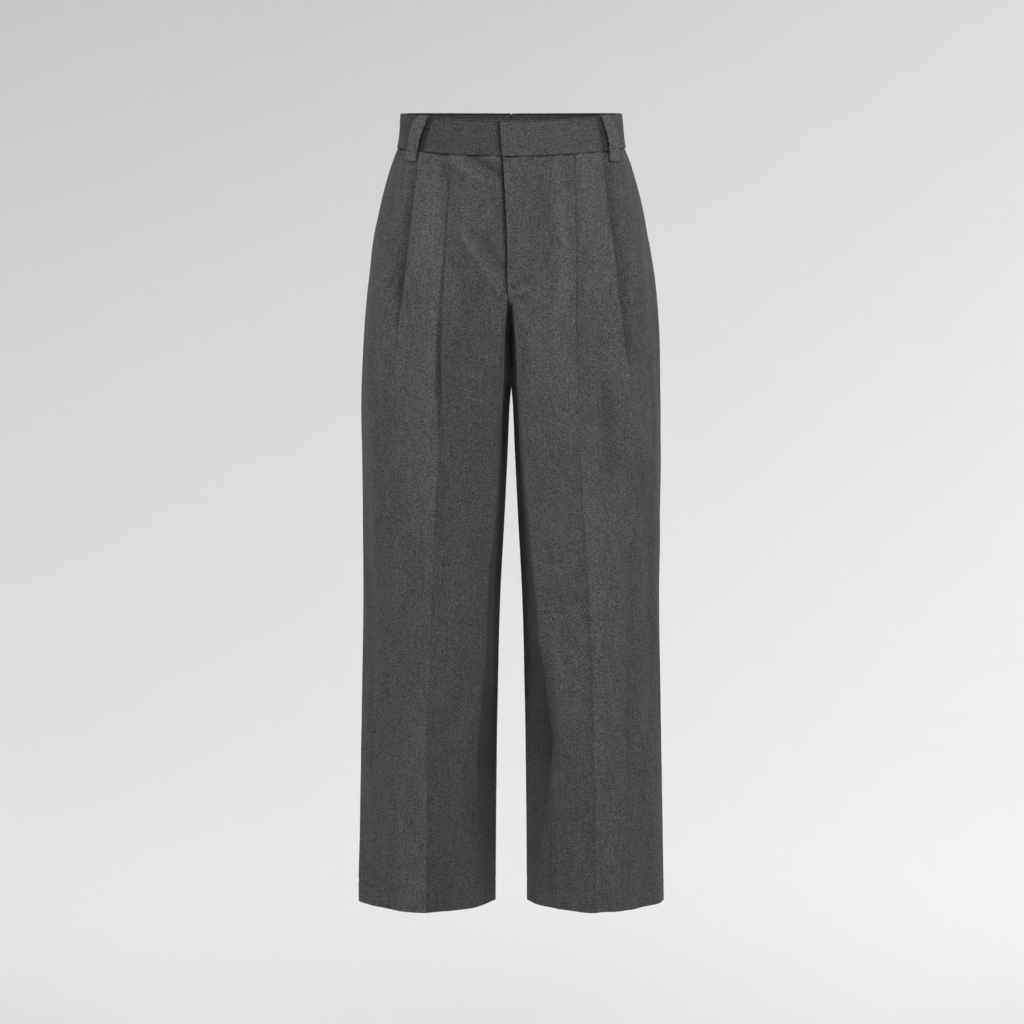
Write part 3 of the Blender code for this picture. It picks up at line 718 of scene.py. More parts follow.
# The cloth's way round a seam, or under in a fold: past the edge, and out.
seamTurn = ((-0.2, -0.06), (-0.03, -0.25), (0.0, -0.6), (0.0, -1.6), (0.0, -3.0))
foldUnder = ((-0.15, -0.06), (0.0, -0.4), (-0.15, -0.74), (-1.5, -0.8), (-6.0, -0.8))
turnRun = np.array([1.0, 2.0, 3.0, 4.0, 6.0])


def edgeTurn(point, way, inward, fold=0.0):
    # points that take the cloth's edge round; fold is 0 at a seam and 1 at a fold
    made = []
    for seam, under in zip(seamTurn, foldUnder):
        past, rise = np.array(seam) + (np.array(under) - np.array(seam)) * fold
        made.append(point + way * past - np.array(inward) * rise)
    return np.array(made)


def seamRoom(z):
    # the edges turn in less where the legs part
    return 0.5 if form["crotch"] - 6 <= z <= -240 else 1.0


def outerEdge(line, xy, s, out, inward=(-1.0, 0.0), fold=0.0):
    # the turn at the outseam, or at the pocket mouth's fold
    edge = line.points(np.array([s]), np.array([out[-1]]))[0]
    return edgeTurn(edge, unit(xy[-1] - xy[-2]), inward, fold)


def closedRow(head, xy, tail, u, tone):
    # a row of the cloth with both its turned edges
    u = np.concatenate((u[0] - turnRun[::-1], u, u[-1] + turnRun))
    return np.vstack((head[::-1], xy, tail)), u, np.pad(tone, len(turnRun), mode="edge")


def calmEnds(s, last, run):
    # 1 over the cloth, fading to 0 at both of its edges
    return smooth(s / run) * smooth((last - s) / run)


def frontRow(side, z):
    line = SectionLine(z, "front", frontStart(side, z), side)
    crease = Pleat(side, "crease", line)
    outer = Pleat(side, "outer", line)
    lapped = lapAt(z)
    atMouth = z > form["mouthEnd"]
    last = line.length - mouthSet(z) * atMouth
    lap = frontLap(side, z, line)
    inner = np.linspace(lap[-1], crease.start, 26)[1:-1]
    plain = np.concatenate(([0.0, 0.5, 1.0, 2.0], lap, inner))
    middle = np.linspace(crease.end, outer.start, 20)[1:-1]
    sides = np.concatenate((np.linspace(outer.end, last - 3, 26)[1:], [last - 1.5, last - 0.6]))
    s = np.concatenate((plain, crease.path[:, 0], middle, outer.path[:, 0], sides))
    x = line.xAt(s)
    fold = foldRelief("front" + side, x, z)
    wave = waveField(0 if side == "left" else 7, s - crease.s, z) * calmEnds(s, last, 12.0)
    out = fold + wave - underlapDrop(side, x, z)
    out += fronts["raise"] - tuckUnderBand(z) - hemGroove(z)
    afterCrease = len(plain) + len(crease.path) + len(middle)
    for pleat, first in ((crease, len(plain)), (outer, afterCrease)):
        relief = pleat.relief(s)
        relief[first:first + len(pleat.path)] = pleat.path[:, 1]
        out += relief + pleat.crest(s) + pleat.opened(s)
    if side == "left":
        out += fly["puff"] * lapped * np.exp(-(s / 9.0) ** 2)
    xy = line.points(s, out)
    # painted highlight and shade beside the crease, painted shadow beside the pleats' edges
    tone = 1.0 + crease.tone(s, z, side) + outer.underTone(s)
    # painted shade and light across the panel
    tone *= panelTone(side, z, s, x, crease.s, outer.s)
    # painted highlight on crests and painted shade in hollows
    tone *= np.clip(1 + fronts["foldTone"] * fold + fronts["waveTone"] * wave, 0.8, 1.22)
    tone = flyAndWallTone(tone, side, z, s, x, line, lapped)
    # painted highlight along the pocket mouth's folded edge
    if atMouth:
        tone += 0.10 * np.exp(-((last - s) / 2.0) ** 2)
    cloth = runOf(s, out)
    u = cloth - cloth[len(plain) + np.argmax(crease.path[:, 0])]
    # inner edge: the folded fly lap, or the seam
    way = unit(xy[0] - xy[1])
    angle = float(smooth((form["seamCentred"] - 4 - z) / 22.0)) * math.pi / 2
    fold = lapped if side == "left" else 0.0
    lapInward = np.array((-way[1], way[0])) * line.facing
    lapInward = lapInward * (1 if lapInward[1] > 0 else -1)
    inward = np.array((math.sin(angle), math.cos(angle))) * (1 - fold) + lapInward * fold
    head = edgeTurn(xy[0], way, inward * seamRoom(z), fold)
    # outer edge: the pocket mouth's fold, or the outseam
    alongX, alongY = line.tangent(last)
    inward = (line.facing * alongY, -line.facing * alongX) if atMouth else (-1.0, 0.0)
    mouth = float(smooth((z - form["mouthEnd"]) / 10.0))
    return closedRow(head, xy, outerEdge(line, xy, last, out, inward, mouth), u, tone)


def flyAndWallTone(tone, side, z, s, x, line, lapped):
    # painted shade and light on the wall between the legs, painted shadow at the fly's edge
    corner = line.along(line.cornerX)
    soft = 7.0 + 34.0 * float(smooth((-820.0 - z) / 120.0))
    wall = smooth((corner + 2.5 + 0.3 * (soft - 7.0) - s) / soft) * (line.cornerX > 0)
    tone = tone * (1 - wall * (1 - readTable(wallTone, side, z)))
    if side == "left":
        # painted light on the wall next to the seam
        lift = readTable(wallTone, "seamLift", z)
        tone = tone * (1 + lift * (1 - smooth(s / max(0.8 * corner, 1.0))))
        # painted highlight along the lap's folded edge
        return tone + 0.10 * lapped * np.exp(-(s / 2.2) ** 2)
    # painted shadow on the right front beside the lap's edge
    past = np.maximum(x + readTable(flyEdge, "edge", z) + 0.4, 0.0)
    contact = fly["contactShade"] * np.exp(-(past / fly["contactRun"]) ** 2)
    return tone * (1 - lapped * (contact + fly["softShade"] * np.exp(-past / fly["softRun"])))


def frontLap(side, z, line):
    # columns close together where the right front runs under the fly's edge,
    # and below the fly where the front turns in between the legs
    lap = -readTable(flyEdge, "edge", z) if side == "right" else 4.0
    steps = np.array((-1.2, 0.0, 0.8, 1.8, 3.2, 6.0, 11.0))
    lapPlaces = np.array([line.along(max(lap, 3.5) + step) for step in steps])
    place = max(readTable(sections, "gap", z), form["seamSet"]) * (z < form["crotch"])
    corner = line.along(place + readTable(cornerLine, side, z))
    cornerPlaces = corner + np.array((-7.0, -3.0, -1.0, 0.6, 2.2, 4.5, 8.0))
    cornerPlaces = np.maximum(cornerPlaces, 2.6 + 0.2 * steps)
    low = float(smooth((-232.0 - z) / 16.0))
    return lapPlaces * (1 - low) + cornerPlaces * low


def panelHeights(spacing):
    # heights of a panel's rows, closer together at the waist, fly and hem
    stops = ((fronts["tuckTop"], 1.0), (-44.0, 0.45), (-48.5, 1.9), (-60.0, spacing),
             (-222.0, spacing * 0.7), (-290.0, spacing * 1.1), (-1016.0, 1.2),
             (-1027.0, 3.2), (-1040.0, 1.6), (-1049.5, 0.0))
    heights = []
    for (high, step), (low, _) in zip(stops, stops[1:]):
        count = max(int(round((high - low) / step)), 1)
        heights += list(np.linspace(high, low, count, endpoint=False))
    return np.array(heights + [stops[-1][0]])


def gridOf(rows, mirror):
    # rows are level points, their height, and their run along the cloth
    grid = np.array([np.column_stack((xy, z - dipAt(xy[:, 0], xy[:, 1], z)))
                     for xy, z, u in rows])
    grid[:, :, 0] *= mirror
    return grid, np.array([np.column_stack((u, np.full(len(u), z))) for xy, z, u in rows])


# The hem turns under and runs back up inside: up from the edge, and inward.
hemTurn = ((-0.5, 0.12), (-0.62, 0.45), (-0.5, 0.78), (0.4, 0.95), (6.0, 1.0),
           (14.0, 1.0), (22.0, 1.05), (fronts["hemDepth"], 1.1))


def panelGrid(side, rowAt, heights, mirror):
    rows = []
    tones = []
    for z in heights:
        xy, u, tone = rowAt(side, z)
        rows.append((xy, z, u + 700.0 * (mirror > 0)))
        tones.append(tone)
    grid, uv = gridOf(rows, 1)
    inwards = insideStep(grid[-1])
    for rise, inset in hemTurn:
        step = np.column_stack((inwards * inset, np.full(len(inwards), rise)))
        grid = np.concatenate((grid, [grid[len(heights) - 1] + step]))
        uv = np.concatenate((uv, [uv[-1] - np.array((0.0, 1.0))]))
        tones.append(tones[-1])
    grid[:, :, 0] *= mirror
    return grid, uv, np.array(tones)


def insideStep(row):
    way = np.gradient(row[:, :2], axis=0)
    way /= np.maximum(np.linalg.norm(way, axis=1), 1e-9)[:, None]
    inside = np.column_stack((-way[:, 1], way[:, 0]))
    centre = row[:, :2].mean(axis=0)
    middle = len(row) // 2
    if np.dot(inside[middle], centre - row[middle, :2]) < 0:
        inside = -inside
    inside[:8] *= 0.4
    inside[-8:] *= 0.4
    return inside


# The two backs.
backs = {
    "seamSet": 0.14,
    "seamClear": 0.01,          # what stays free at the centre seam
    "tuckShare": 0.65,          # of the fronts' step under the waistband
    "ridge": 1.2,
    "lowFrom": -176.0,          # the crease comes in from here down
    "lowOver": 160.0,
    "outsideHighlight": 0.07,
    "insideShade": 0.06,
}


def backRow(side, z):
    line = SectionLine(z, "back", backs["seamSet"])
    length = line.length
    halfLeg = 0.52 * (readTable(sections, "side", z) + readTable(sections, "gap", z))
    creaseS = line.along(halfLeg)
    inner = np.concatenate(([0.0, 0.6, 1.5, 3.0], np.linspace(3.0, creaseS - 8, 34)[1:]))
    pressed = np.array((0.5, 1.3, 2.6, 4.2, 6.0))
    pressed = creaseS + np.concatenate((-pressed[::-1], [0.0], pressed))
    outer = np.linspace(creaseS + 8, length - 3, 36)
    s = np.concatenate((inner, pressed, outer, [length - 1.5, length - 0.6]))
    x = line.xAt(s)
    off = s - creaseS
    low = float(smooth((backs["lowFrom"] - z) / backs["lowOver"]))
    out = backs["ridge"] * low * np.exp(-np.abs(off) / 7.0)
    out += readTable(creasePress, "back", z) * facets(s, creaseS, length)
    out += foldRelief("back" + side, x, z)
    calm = calmEnds(s, length, 12.0) * float(smooth((-50.0 - z) / 40.0))
    out += waveField(3 if side == "left" else 5, off, z) * calm
    out += fronts["raise"] - backs["tuckShare"] * tuckUnderBand(z) - hemGroove(z)
    xy = line.points(s, out)
    angle = float(smooth((form["crotch"] + 22 - z) / 22.0)) * math.pi / 2
    inward = np.array((math.sin(angle), -math.cos(angle)))
    head = edgeTurn(xy[0], unit(xy[0] - xy[1]), inward * seamRoom(z))
    if z > form["crotch"] - 6:
        # the two backs meet at the seam
        slack = head[:, 0].min() - 0.5 * fronts["thickness"] - backs["seamClear"]
        head[:, 0] -= slack
        xy[:, 0] -= slack * np.exp(-s / 4.0)
    # painted highlight just outside the back crease, painted shade inside it
    paintedShading = backs["outsideHighlight"] * beside(off, 16.0)
    tone = 1 + low * (paintedShading - backs["insideShade"] * beside(-off, 18.0))
    return closedRow(head, xy, outerEdge(line, xy, length, out), off, tone)


pieces = {}
grids = {}
for side, mirror in (("left", 1), ("right", -1)):
    grid, uv, tone = panelGrid(side, frontRow, panelHeights(4.2), mirror)
    grids["front_" + side] = grid
    pieces["front_" + side] = sheetFromGrid(
        "trouser_front_" + side, grid, fronts["thickness"], mirror, uv, tone, insideTone=0.9)
    print("front", side, grid.shape)
    grid, uv, tone = panelGrid(side, backRow, panelHeights(4.8), mirror)
    pieces["back_" + side] = sheetFromGrid(
        "trouser_back_" + side, grid, fronts["thickness"], -mirror, uv, tone)
    print("back", side, grid.shape)


# The five belt loops.
loops = {
    "thickness": 1.6,
    "width": 15.0,
    "line": (                   # height, out from the body cloth, along the strip
        (0.4, 2.2), (-0.6, 3.8), (-3.0, 5.2), (-8.0, 6.4), (-15.0, 7.2), (-24.0, 7.6),
        (-31.0, 7.4), (-39.0, 6.4), (-46.0, 4.9), (-51.5, 3.6), (-56.5, 2.9),
        (-58.2, 2.2), (-57.8, 1.5), (-56.0, 1.2), (-49.0, 1.15),
    ),
    "backTop": 3.0,             # the back ones start lower
    "backShare": 0.94,          # and are a little shorter
    "places": {
        "front_right": ("right", "front", 110.6, 128.4, -3.4),
        "front_left": ("left", "front", 118.6, 132.4, -3.4),
        "back_right": ("right", "back", 88.0, 90.0, 0.0),
        "back_left": ("left", "back", 88.0, 90.0, 0.0),
        "back_centre": ("left", "back", 0.0, 0.0, 0.0),
    },
}


# The waistband: two halves, with the left one's end lying over the right.
band = {
    "thickness": 2.0,
    "middle": 1.1,
    "puff": 0.5,
    "rows": 26,
    "top": -1.0,
    "foot": -43.9,
    "backSet": (0.1, 0.15),     # the section's start and the band's end there
    "clear": 2.2,               # between the two ends where they lap
    "lapRun": 34.0,
    "endPuff": 1.4,
    "waves": 0.35,
    # painted shadow under the loops and beside the lap, painted highlight on the edges
    "loopShade": 0.45,
    "lapShade": 0.56,
    "bandEdgeHighlight": 0.12,
}


def bandRow(side, z):
    left = side == "left"
    lap = -readTable(flyEdge, "edge", z)
    front = SectionLine(z, "front", -lap if left else -form["bandUnderlap"])
    back = SectionLine(z, "back", band["backSet"][0])
    near = [front.along(lap + step) for step in (-3.0, -1.0, 1.0, 3.0, 6.0, 9.0, 12.0, 15.0)]
    if left:
        near = [0.7, 1.6, 3.0, 5.0, 8.0, 12.0, 17.0, 23.0]
    s = np.concatenate(([0.0], near, np.linspace(near[-1], front.length, 70)[1:]))
    level = band["middle"] + band["puff"] * math.sin(math.pi * -z / form["bandHeight"])
    out = level + band["waves"] * waveField(9 if left else 13, s * 1.6, z * 3.0)
    if left:
        out += band["endPuff"] * np.exp(-((s - 9.0) / 12.0) ** 2)
    else:
        under = 1 - smooth((front.xAt(s) - lap - 1.5) / band["lapRun"])
        out -= under * (band["thickness"] + band["clear"])
    sBack = np.linspace(back.length, band["backSet"][1], 75)[1:]
    xy = np.vstack((front.points(s, out), back.points(sBack, np.full(len(sBack), level))))
    return xy, z, np.concatenate((s, front.length + back.length - sBack))


def underLoop(name, x, z):
    # 1 where the cloth lies under a loop, or just inside its line: where the band gets a painted
    # shadow
    xTop, xFoot = loops["places"][name][2:4]
    middle = xTop + (xFoot - xTop) * np.clip(-z / 60.0, 0, 1)
    return smooth((x - middle + 12.5) / 3.0) * (1 - smooth((x - middle - 2.0) / 5.0))


def bandTone(side, grid, uv):
    # painted highlights along the band's edges and ends, painted shadow under and beside the loops
    # and beside the lap's edge, painted shade on the right half's front
    z = uv[:, :, 1]
    x = np.abs(grid[:, :, 0])
    atFront = grid[:, :, 1] < 0
    shade = 0.98 - band["loopShade"] * underLoop("front_" + side, x, z) * atFront
    if side == "right":
        past = np.maximum(x + np.interp(z, (-44, 0), (-10.8, -13.7)) + 0.4, 0)
        shade = shade - atFront * (0.16 + 0.05 * np.exp(-past / 40.0))
        shade = shade - atFront * band["lapShade"] * np.exp(-(past / 3.0) ** 2)
    edge = np.exp(-((z - band["top"]) / 1.6) ** 2)
    edge += 0.6 * np.exp(-((z - band["foot"]) / 1.6) ** 2)
    ends = np.exp(-((uv[:, :, 0] - uv[:, :1, 0]) / 2.2) ** 2)
    return shade * (1 + band["bandEdgeHighlight"] * np.maximum(edge, ends))


for side, mirror in (("left", 1), ("right", -1)):
    heights = np.linspace(band["top"], band["foot"], band["rows"])
    grid, uv = gridOf([bandRow(side, z) for z in heights], mirror)
    pieces["waistband_" + side] = sheetFromGrid(
        "waistband_cloth_" + side, grid, band["thickness"], mirror, uv,
        bandTone(side, grid, uv), edgeRings=4, lastEnd=0.15, insideTone=0.85)
print("waistband made")


# The strips of cloth seen inside the pocket mouths.
facing = {"thickness": 0.6, "top": -43.0, "rows": 56, "tuck": 12.0, "foot": 12.0,
          "set": 1.3, "footSet": 1.5}


def facingRow(side, z):
    line = SectionLine(z, "front", frontStart(side, z))
    length = line.length
    mouth = max(mouthSet(z), form["mouthEndSet"])
    s = np.concatenate((np.linspace(length - mouth - facing["tuck"], length - 3, 26),
                        [length - 1.5, length - 0.6]))
    settle = smooth((length - s) / max(0.7 * mouth, 5.0))
    out = fronts["raise"] - facing["set"] * settle - tuckUnderBand(z)
    out = out - facing["footSet"] * float(smooth((form["mouthEnd"] - z) / 8.0))
    xy = line.points(s, out)
    xy = np.vstack((xy, outerEdge(line, xy, length, out)))
    return xy, z, np.concatenate((s, s[-1] + turnRun))


for side, mirror in (("left", 1), ("right", -1)):
    heights = np.linspace(facing["top"], form["mouthEnd"] - facing["foot"], facing["rows"])
    grid, uv = gridOf([facingRow(side, z) for z in heights], mirror)
    pieces["pocket_facing_" + side] = sheetFromGrid(
        "pocket_strip_" + side, grid, facing["thickness"], mirror, uv)
print("pocket strips made")


# The belt loops are cut as long strips, folded and stitched down at both ends.
def smoothRows(rows, count):
    # evenly spaced points on a rounded path through a few given ones
    rows = np.array(rows, float)
    for _ in range(3):
        cut = np.empty((2 * len(rows) - 2, rows.shape[1]))
        cut[0::2] = 0.75 * rows[:-1] + 0.25 * rows[1:]
        cut[1::2] = 0.25 * rows[:-1] + 0.75 * rows[1:]
        rows = np.vstack((rows[:1], cut, rows[-1:]))
    length = runOf(*rows.T)
    even = np.linspace(0, length[-1], count)
    return np.column_stack([np.interp(even, length, column) for column in rows.T])


def loopGrid(name):
    side, toward, xTop, xFoot, tilt = loops["places"][name]
    mirror = 1 if side == "left" else -1
    across = np.array((0.1, 0.25, 0.38, 0.46, 0.5))
    across = np.concatenate((-across[::-1], across))
    crown = -0.35 * (np.abs(across) * 2) ** 4
    rows = []
    path = []
    for z, out in smoothRows(loops["line"], 60):
        start = frontStart(side, z) if toward == "front" else form["seamSet"]
        line = SectionLine(z, toward, start)
        if toward == "back":
            z = z * loops["backShare"] - loops["backTop"]
        x = xTop + (xFoot - xTop) * min(max(-z / 60.0, 0), 1)
        s = (line.along(x) if x > 0 else 0.0) + across * loops["width"]
        lean = tilt * float(smooth(-z / 10.0) * smooth((z + 62) / 22.0))
        xy = line.points(np.abs(s), out - lean * across + crown + 0.75)
        xy[:, 0] *= np.where(s < 0, -1, 1)
        rows.append((xy, z, s))
        path.append((z, out))
    grid, uv = gridOf(rows, mirror)
    uv[:, :, 1] = -runOf(*np.array(path).T)[:, None]
    return grid, uv, mirror if toward == "front" else -mirror


for name in loops["places"]:
    grid, uv, hand = loopGrid(name)
    grids["loop_" + name] = grid
    # painted highlight along the loop strips' edges
    paintedEdgeLight = 1 + 0.12 * np.linspace(-1, 1, grid.shape[1]) ** 4
    pieces["belt_loop_" + name] = sheetFromGrid(
        "loop_strip_" + name, grid, loops["thickness"], hand, uv,
        np.tile(paintedEdgeLight, (len(grid), 1)), edgeRings=3)
print("belt loops made")


# Bar tacks: dense stitches that hold the loops, the pocket mouths and the fly.
tacks = {
    "thread": 0.36,             # across one stitch
    "reach": 2.2,               # length of one stitch
    "pitch": 0.40,
    "lean": 0.1,                # stitches lean by turns to either side
    "foot": -53.4,              # height on a loop
    "pocket": -164.0,
    "fly": -219.0,
}


def makeStitch():
    # one stitch, along z, modelled once and copied into every tack
    bpy.ops.object.select_all(action="DESELECT")
    bpy.ops.mesh.primitive_cylinder_add(
        vertices=6, radius=tacks["thread"] / 2 * mm, depth=0.7 * tacks["reach"] * mm)
    stitch = bpy.context.active_object
    bpy.ops.object.mode_set(mode="EDIT")
    bpy.ops.mesh.select_mode(type="FACE")
    bpy.ops.mesh.select_all(action="DESELECT")
    bpy.ops.object.mode_set(mode="OBJECT")
    for face in stitch.data.polygons:
        face.select = abs(face.normal.z) > 0.9
    bpy.ops.object.mode_set(mode="EDIT")
    bpy.ops.mesh.extrude_faces_move(
        MESH_OT_extrude_faces_indiv={},
        TRANSFORM_OT_shrink_fatten={"value": 0.15 * tacks["reach"] * mm})
    bpy.ops.object.mode_set(mode="OBJECT")
    points = np.array([corner.co[:] for corner in stitch.data.vertices]) / mm
    tip = np.abs(points[:, 2]) > 0.45 * tacks["reach"]
    points[tip, :2] *= 0.4
    faces = [list(face.vertices) for face in stitch.data.polygons]
    bpy.data.objects.remove(stitch)
    return points, faces


def alongRow(grid, row, places):
    # points on one row of a sheet, at distances along it
    length = runOf(*grid[row].T)
    places = np.where(places < 0, length[-1] + places, places)
    return np.column_stack([np.interp(places, length, column) for column in grid[row].T])


def makeTack(name, grid, height, start, end, proud):
    row = 2 + int(np.argmin(np.abs(grid[2:-2, grid.shape[1] // 2, 2] - height)))
    count = int(abs(end - start) / tacks["pitch"])
    places = np.linspace(start, end, count)
    above, middle, below = (alongRow(grid, row + step, places) for step in (-2, 0, 2))
    points, faces = stitchShape
    allPoints = []
    allFaces = []
    for i in range(count):
        across = unit(middle[min(i + 1, count - 1)] - middle[max(i - 1, 0)])
        down = below[i] - above[i]
        down = unit(down - np.dot(down, across) * across)
        out = np.cross(across, down)
        if np.dot(out, middle[i] - (0.0, 0.0, height)) < 0:
            out = -out
        way = unit(down + (tacks["lean"] if i % 2 else -tacks["lean"]) * across)
        place = middle[i] + out * (proud + 0.35 * tacks["thread"])
        allPoints.append(points @ np.vstack((np.cross(out, way), out, way)) + place)
        allFaces += [[corner + i * len(points) for corner in face] for face in faces]
    mesh = bpy.data.meshes.new(name)
    mesh.from_pydata((np.vstack(allPoints) * mm).tolist(), [], allFaces)
    mesh.update()
    piece = bpy.data.objects.new(name, mesh)
    bpy.context.scene.collection.objects.link(piece)
    bpy.ops.object.select_all(action="DESELECT")
    piece.select_set(True)
    bpy.context.view_layer.objects.active = piece
    bpy.ops.object.mode_set(mode="EDIT")
    bpy.ops.mesh.select_all(action="SELECT")
    bpy.ops.mesh.normals_make_consistent(inside=False)
    bpy.ops.object.mode_set(mode="OBJECT")
    bpy.ops.object.shade_smooth_by_angle(angle=math.radians(50))
    return piece


stitchShape = makeStitch()
tackPieces = []
for name in loops["places"]:
    width = loops["width"]
    height = tacks["foot"]
    if "back" in name:
        height = height * loops["backShare"] - loops["backTop"]
    tackPieces.append(makeTack("loop_tack_" + name, grids["loop_" + name], height,
                               0.14 * width, 0.86 * width, loops["thickness"] / 2))
clothHalf = fronts["thickness"] / 2
for side in ("left", "right"):
    tackPieces.append(makeTack("pocket_tack_" + side, grids["front_" + side],
                               tacks["pocket"], -9.2, -4.2, clothHalf))
tackPieces.append(makeTack("fly_tack", grids["front_left"], tacks["fly"], 11.0, 17.0, clothHalf))
print("bar tacks made:", len(tackPieces))


# Cloth finishes. The pattern follows each piece's own cloth coordinates.
clothLook = {
    "trousers": {"Dark": 0.034, "Light": 0.152, "Streak": 1.0},
    "waistband": {"Dark": 0.034, "Light": 0.146, "Streak": 0.6},
    # the facing's copy is darker: painted shade in the pocket mouth
    "facing": {"Dark": 0.028, "Light": 0.120, "Streak": 1.0},
    # the loop's copy is lighter than the waistband's: painted light
    "loop": {"Dark": 0.046, "Light": 0.190, "Streak": 0.6},
}

# Each noise in the cloth: scale across and along, detail, shift, strength.
clothNoise = {
    "fibre": ((0.60, 0.36), 3.0, 3.1, 1.4),
    "fleck": ((1.00, 0.72), 1.5, 17.7, 2.9),
    "streak": ((0.36, 0.028), 3.0, 41.0, 0.55),
    "broad": ((0.06, 0.020), 3.0, 77.0, 0.30),
    "blotch": ((0.10, 0.075), 2.0, 211.0, 0.30),
    "glint": ((1.25, 0.85), 1.0, 133.0, 3.2),
}
clothGrey = {"middle": 0.47, "twill": 0.22, "glintFrom": 0.60, "most": 1.35, "blue": 1.01,
             "rough": 0.98, "roughFall": 0.12}


def wire(tree, a, output, b, socket):
    tree.links.new(a.outputs[output], b.inputs[socket])


def mathNode(tree, operation, first, second):
    node = tree.nodes.new("ShaderNodeMath")
    node.operation = operation
    for place, value in enumerate((first, second)):
        if isinstance(value, (int, float)):
            node.inputs[place].default_value = value
        else:
            tree.links.new(value, node.inputs[place])
    return node.outputs[0]


def scaledSum(tree, value, share, added):
    return mathNode(tree, "ADD", mathNode(tree, "MULTIPLY", value, share), added)


def newMaterial(name):
    material = bpy.data.materials.new(name)
    material.use_nodes = True
    return material, material.node_tree, material.node_tree.nodes["Principled BSDF"]


def mixGrey(tree, level, blue=None):
    colour = tree.nodes.new("ShaderNodeCombineColor")
    for channel, value in (("Red", level), ("Green", level), ("Blue", blue or level)):
        tree.links.new(value, colour.inputs[channel])
    return colour


def addBump(tree, shader, source, output, strength, distance):
    bump = tree.nodes.new("ShaderNodeBump")
    bump.inputs["Strength"].default_value = strength
    bump.inputs["Distance"].default_value = distance
    wire(tree, source, output, bump, "Height")
    wire(tree, bump, "Normal", shader, "Normal")


def scaledNoise(tree, coordinates, scale, detail, shift):
    mapping = tree.nodes.new("ShaderNodeMapping")
    mapping.inputs["Scale"].default_value = (scale[0], scale[1], 1)
    mapping.inputs["Location"].default_value = (shift, shift * 0.7, shift)
    tree.links.new(coordinates, mapping.inputs["Vector"])
    noise = tree.nodes.new("ShaderNodeTexNoise")
    noise.inputs["Scale"].default_value = 1.0
    noise.inputs["Detail"].default_value = detail
    noise.inputs["Roughness"].default_value = 0.6
    tree.links.new(mapping.outputs["Vector"], noise.inputs["Vector"])
    return noise.outputs["Fac"]


def makeHeather():
    group = bpy.data.node_groups.new("heatherTwill", "ShaderNodeTree")
    for name, value in (("Dark", 0.05), ("Light", 0.1), ("Streak", 1.0)):
        socket = group.interface.new_socket(name, in_out="INPUT", socket_type="NodeSocketFloat")
        socket.default_value = value
    for name, kind in (("Color", "Color"), ("Roughness", "Float"), ("Height", "Float")):
        group.interface.new_socket(name, in_out="OUTPUT", socket_type="NodeSocket" + kind)
    given = group.nodes.new("NodeGroupInput").outputs
    result = group.nodes.new("NodeGroupOutput").inputs
    uv = group.nodes.new("ShaderNodeUVMap")
    uv.uv_map = "cloth"
    milli = group.nodes.new("ShaderNodeVectorMath")
    milli.operation = "SCALE"
    milli.inputs["Scale"].default_value = 1 / mm
    wire(group, uv, "UV", milli, 0)
    place = milli.outputs["Vector"]
    noises = {name: scaledNoise(group, place, *values[:3]) for name, values in clothNoise.items()}
    wave = group.nodes.new("ShaderNodeTexWave")
    wave.wave_type = "BANDS"
    wave.bands_direction = "DIAGONAL"
    wave.inputs["Scale"].default_value = 0.45
    wave.inputs["Distortion"].default_value = 1.2
    wave.inputs["Detail"].default_value = 1.0
    group.links.new(place, wave.inputs["Vector"])
    twill = wave.outputs["Fac"]
    total = scaledSum(group, mathNode(group, "SUBTRACT", twill, 0.5),
                      clothGrey["twill"], clothGrey["middle"])
    for name, noise in noises.items():
        middle = clothGrey["glintFrom"] if name == "glint" else 0.5
        level = mathNode(group, "SUBTRACT", noise, middle)
        if name == "glint":
            level = mathNode(group, "MAXIMUM", level, 0.0)
        if name == "streak":
            level = mathNode(group, "MULTIPLY", level, given["Streak"])
        total = scaledSum(group, level, clothNoise[name][3], total)
    total = mathNode(group, "MINIMUM", mathNode(group, "MAXIMUM", total, 0.0), clothGrey["most"])
    span = mathNode(group, "SUBTRACT", given["Light"], given["Dark"])
    grey = scaledSum(group, total, span, given["Dark"])
    colour = mixGrey(group, grey, mathNode(group, "MULTIPLY", grey, clothGrey["blue"]))
    group.links.new(colour.outputs["Color"], result["Color"])
    rough = scaledSum(group, total, -clothGrey["roughFall"], clothGrey["rough"])
    group.links.new(rough, result["Roughness"])
    raised = mathNode(group, "MULTIPLY", twill, 0.4)
    group.links.new(scaledSum(group, noises["fibre"], 0.6, raised), result["Height"])
    return group


def clothMaterial(name):
    material, tree, shader = newMaterial(name + "Wool")
    weave = tree.nodes.new("ShaderNodeGroup")
    weave.node_tree = heather
    for socket, value in clothLook[name].items():
        weave.inputs[socket].default_value = value
    # painted shade and painted highlights of each point scale the base colour
    shade = tree.nodes.new("ShaderNodeAttribute")
    shade.attribute_name = "paintedLightAndShade"
    toned = tree.nodes.new("ShaderNodeVectorMath")
    toned.operation = "SCALE"
    wire(tree, weave, "Color", toned, 0)
    wire(tree, shade, "Fac", toned, "Scale")
    wire(tree, toned, "Vector", shader, "Base Color")
    wire(tree, weave, "Roughness", shader, "Roughness")
    addBump(tree, shader, weave, "Height", 0.5, 0.0003)
    shader.inputs["Specular IOR Level"].default_value = 0.2
    shader.inputs["Sheen Weight"].default_value = 0.05
    shader.inputs["Sheen Roughness"].default_value = 0.5
    return material


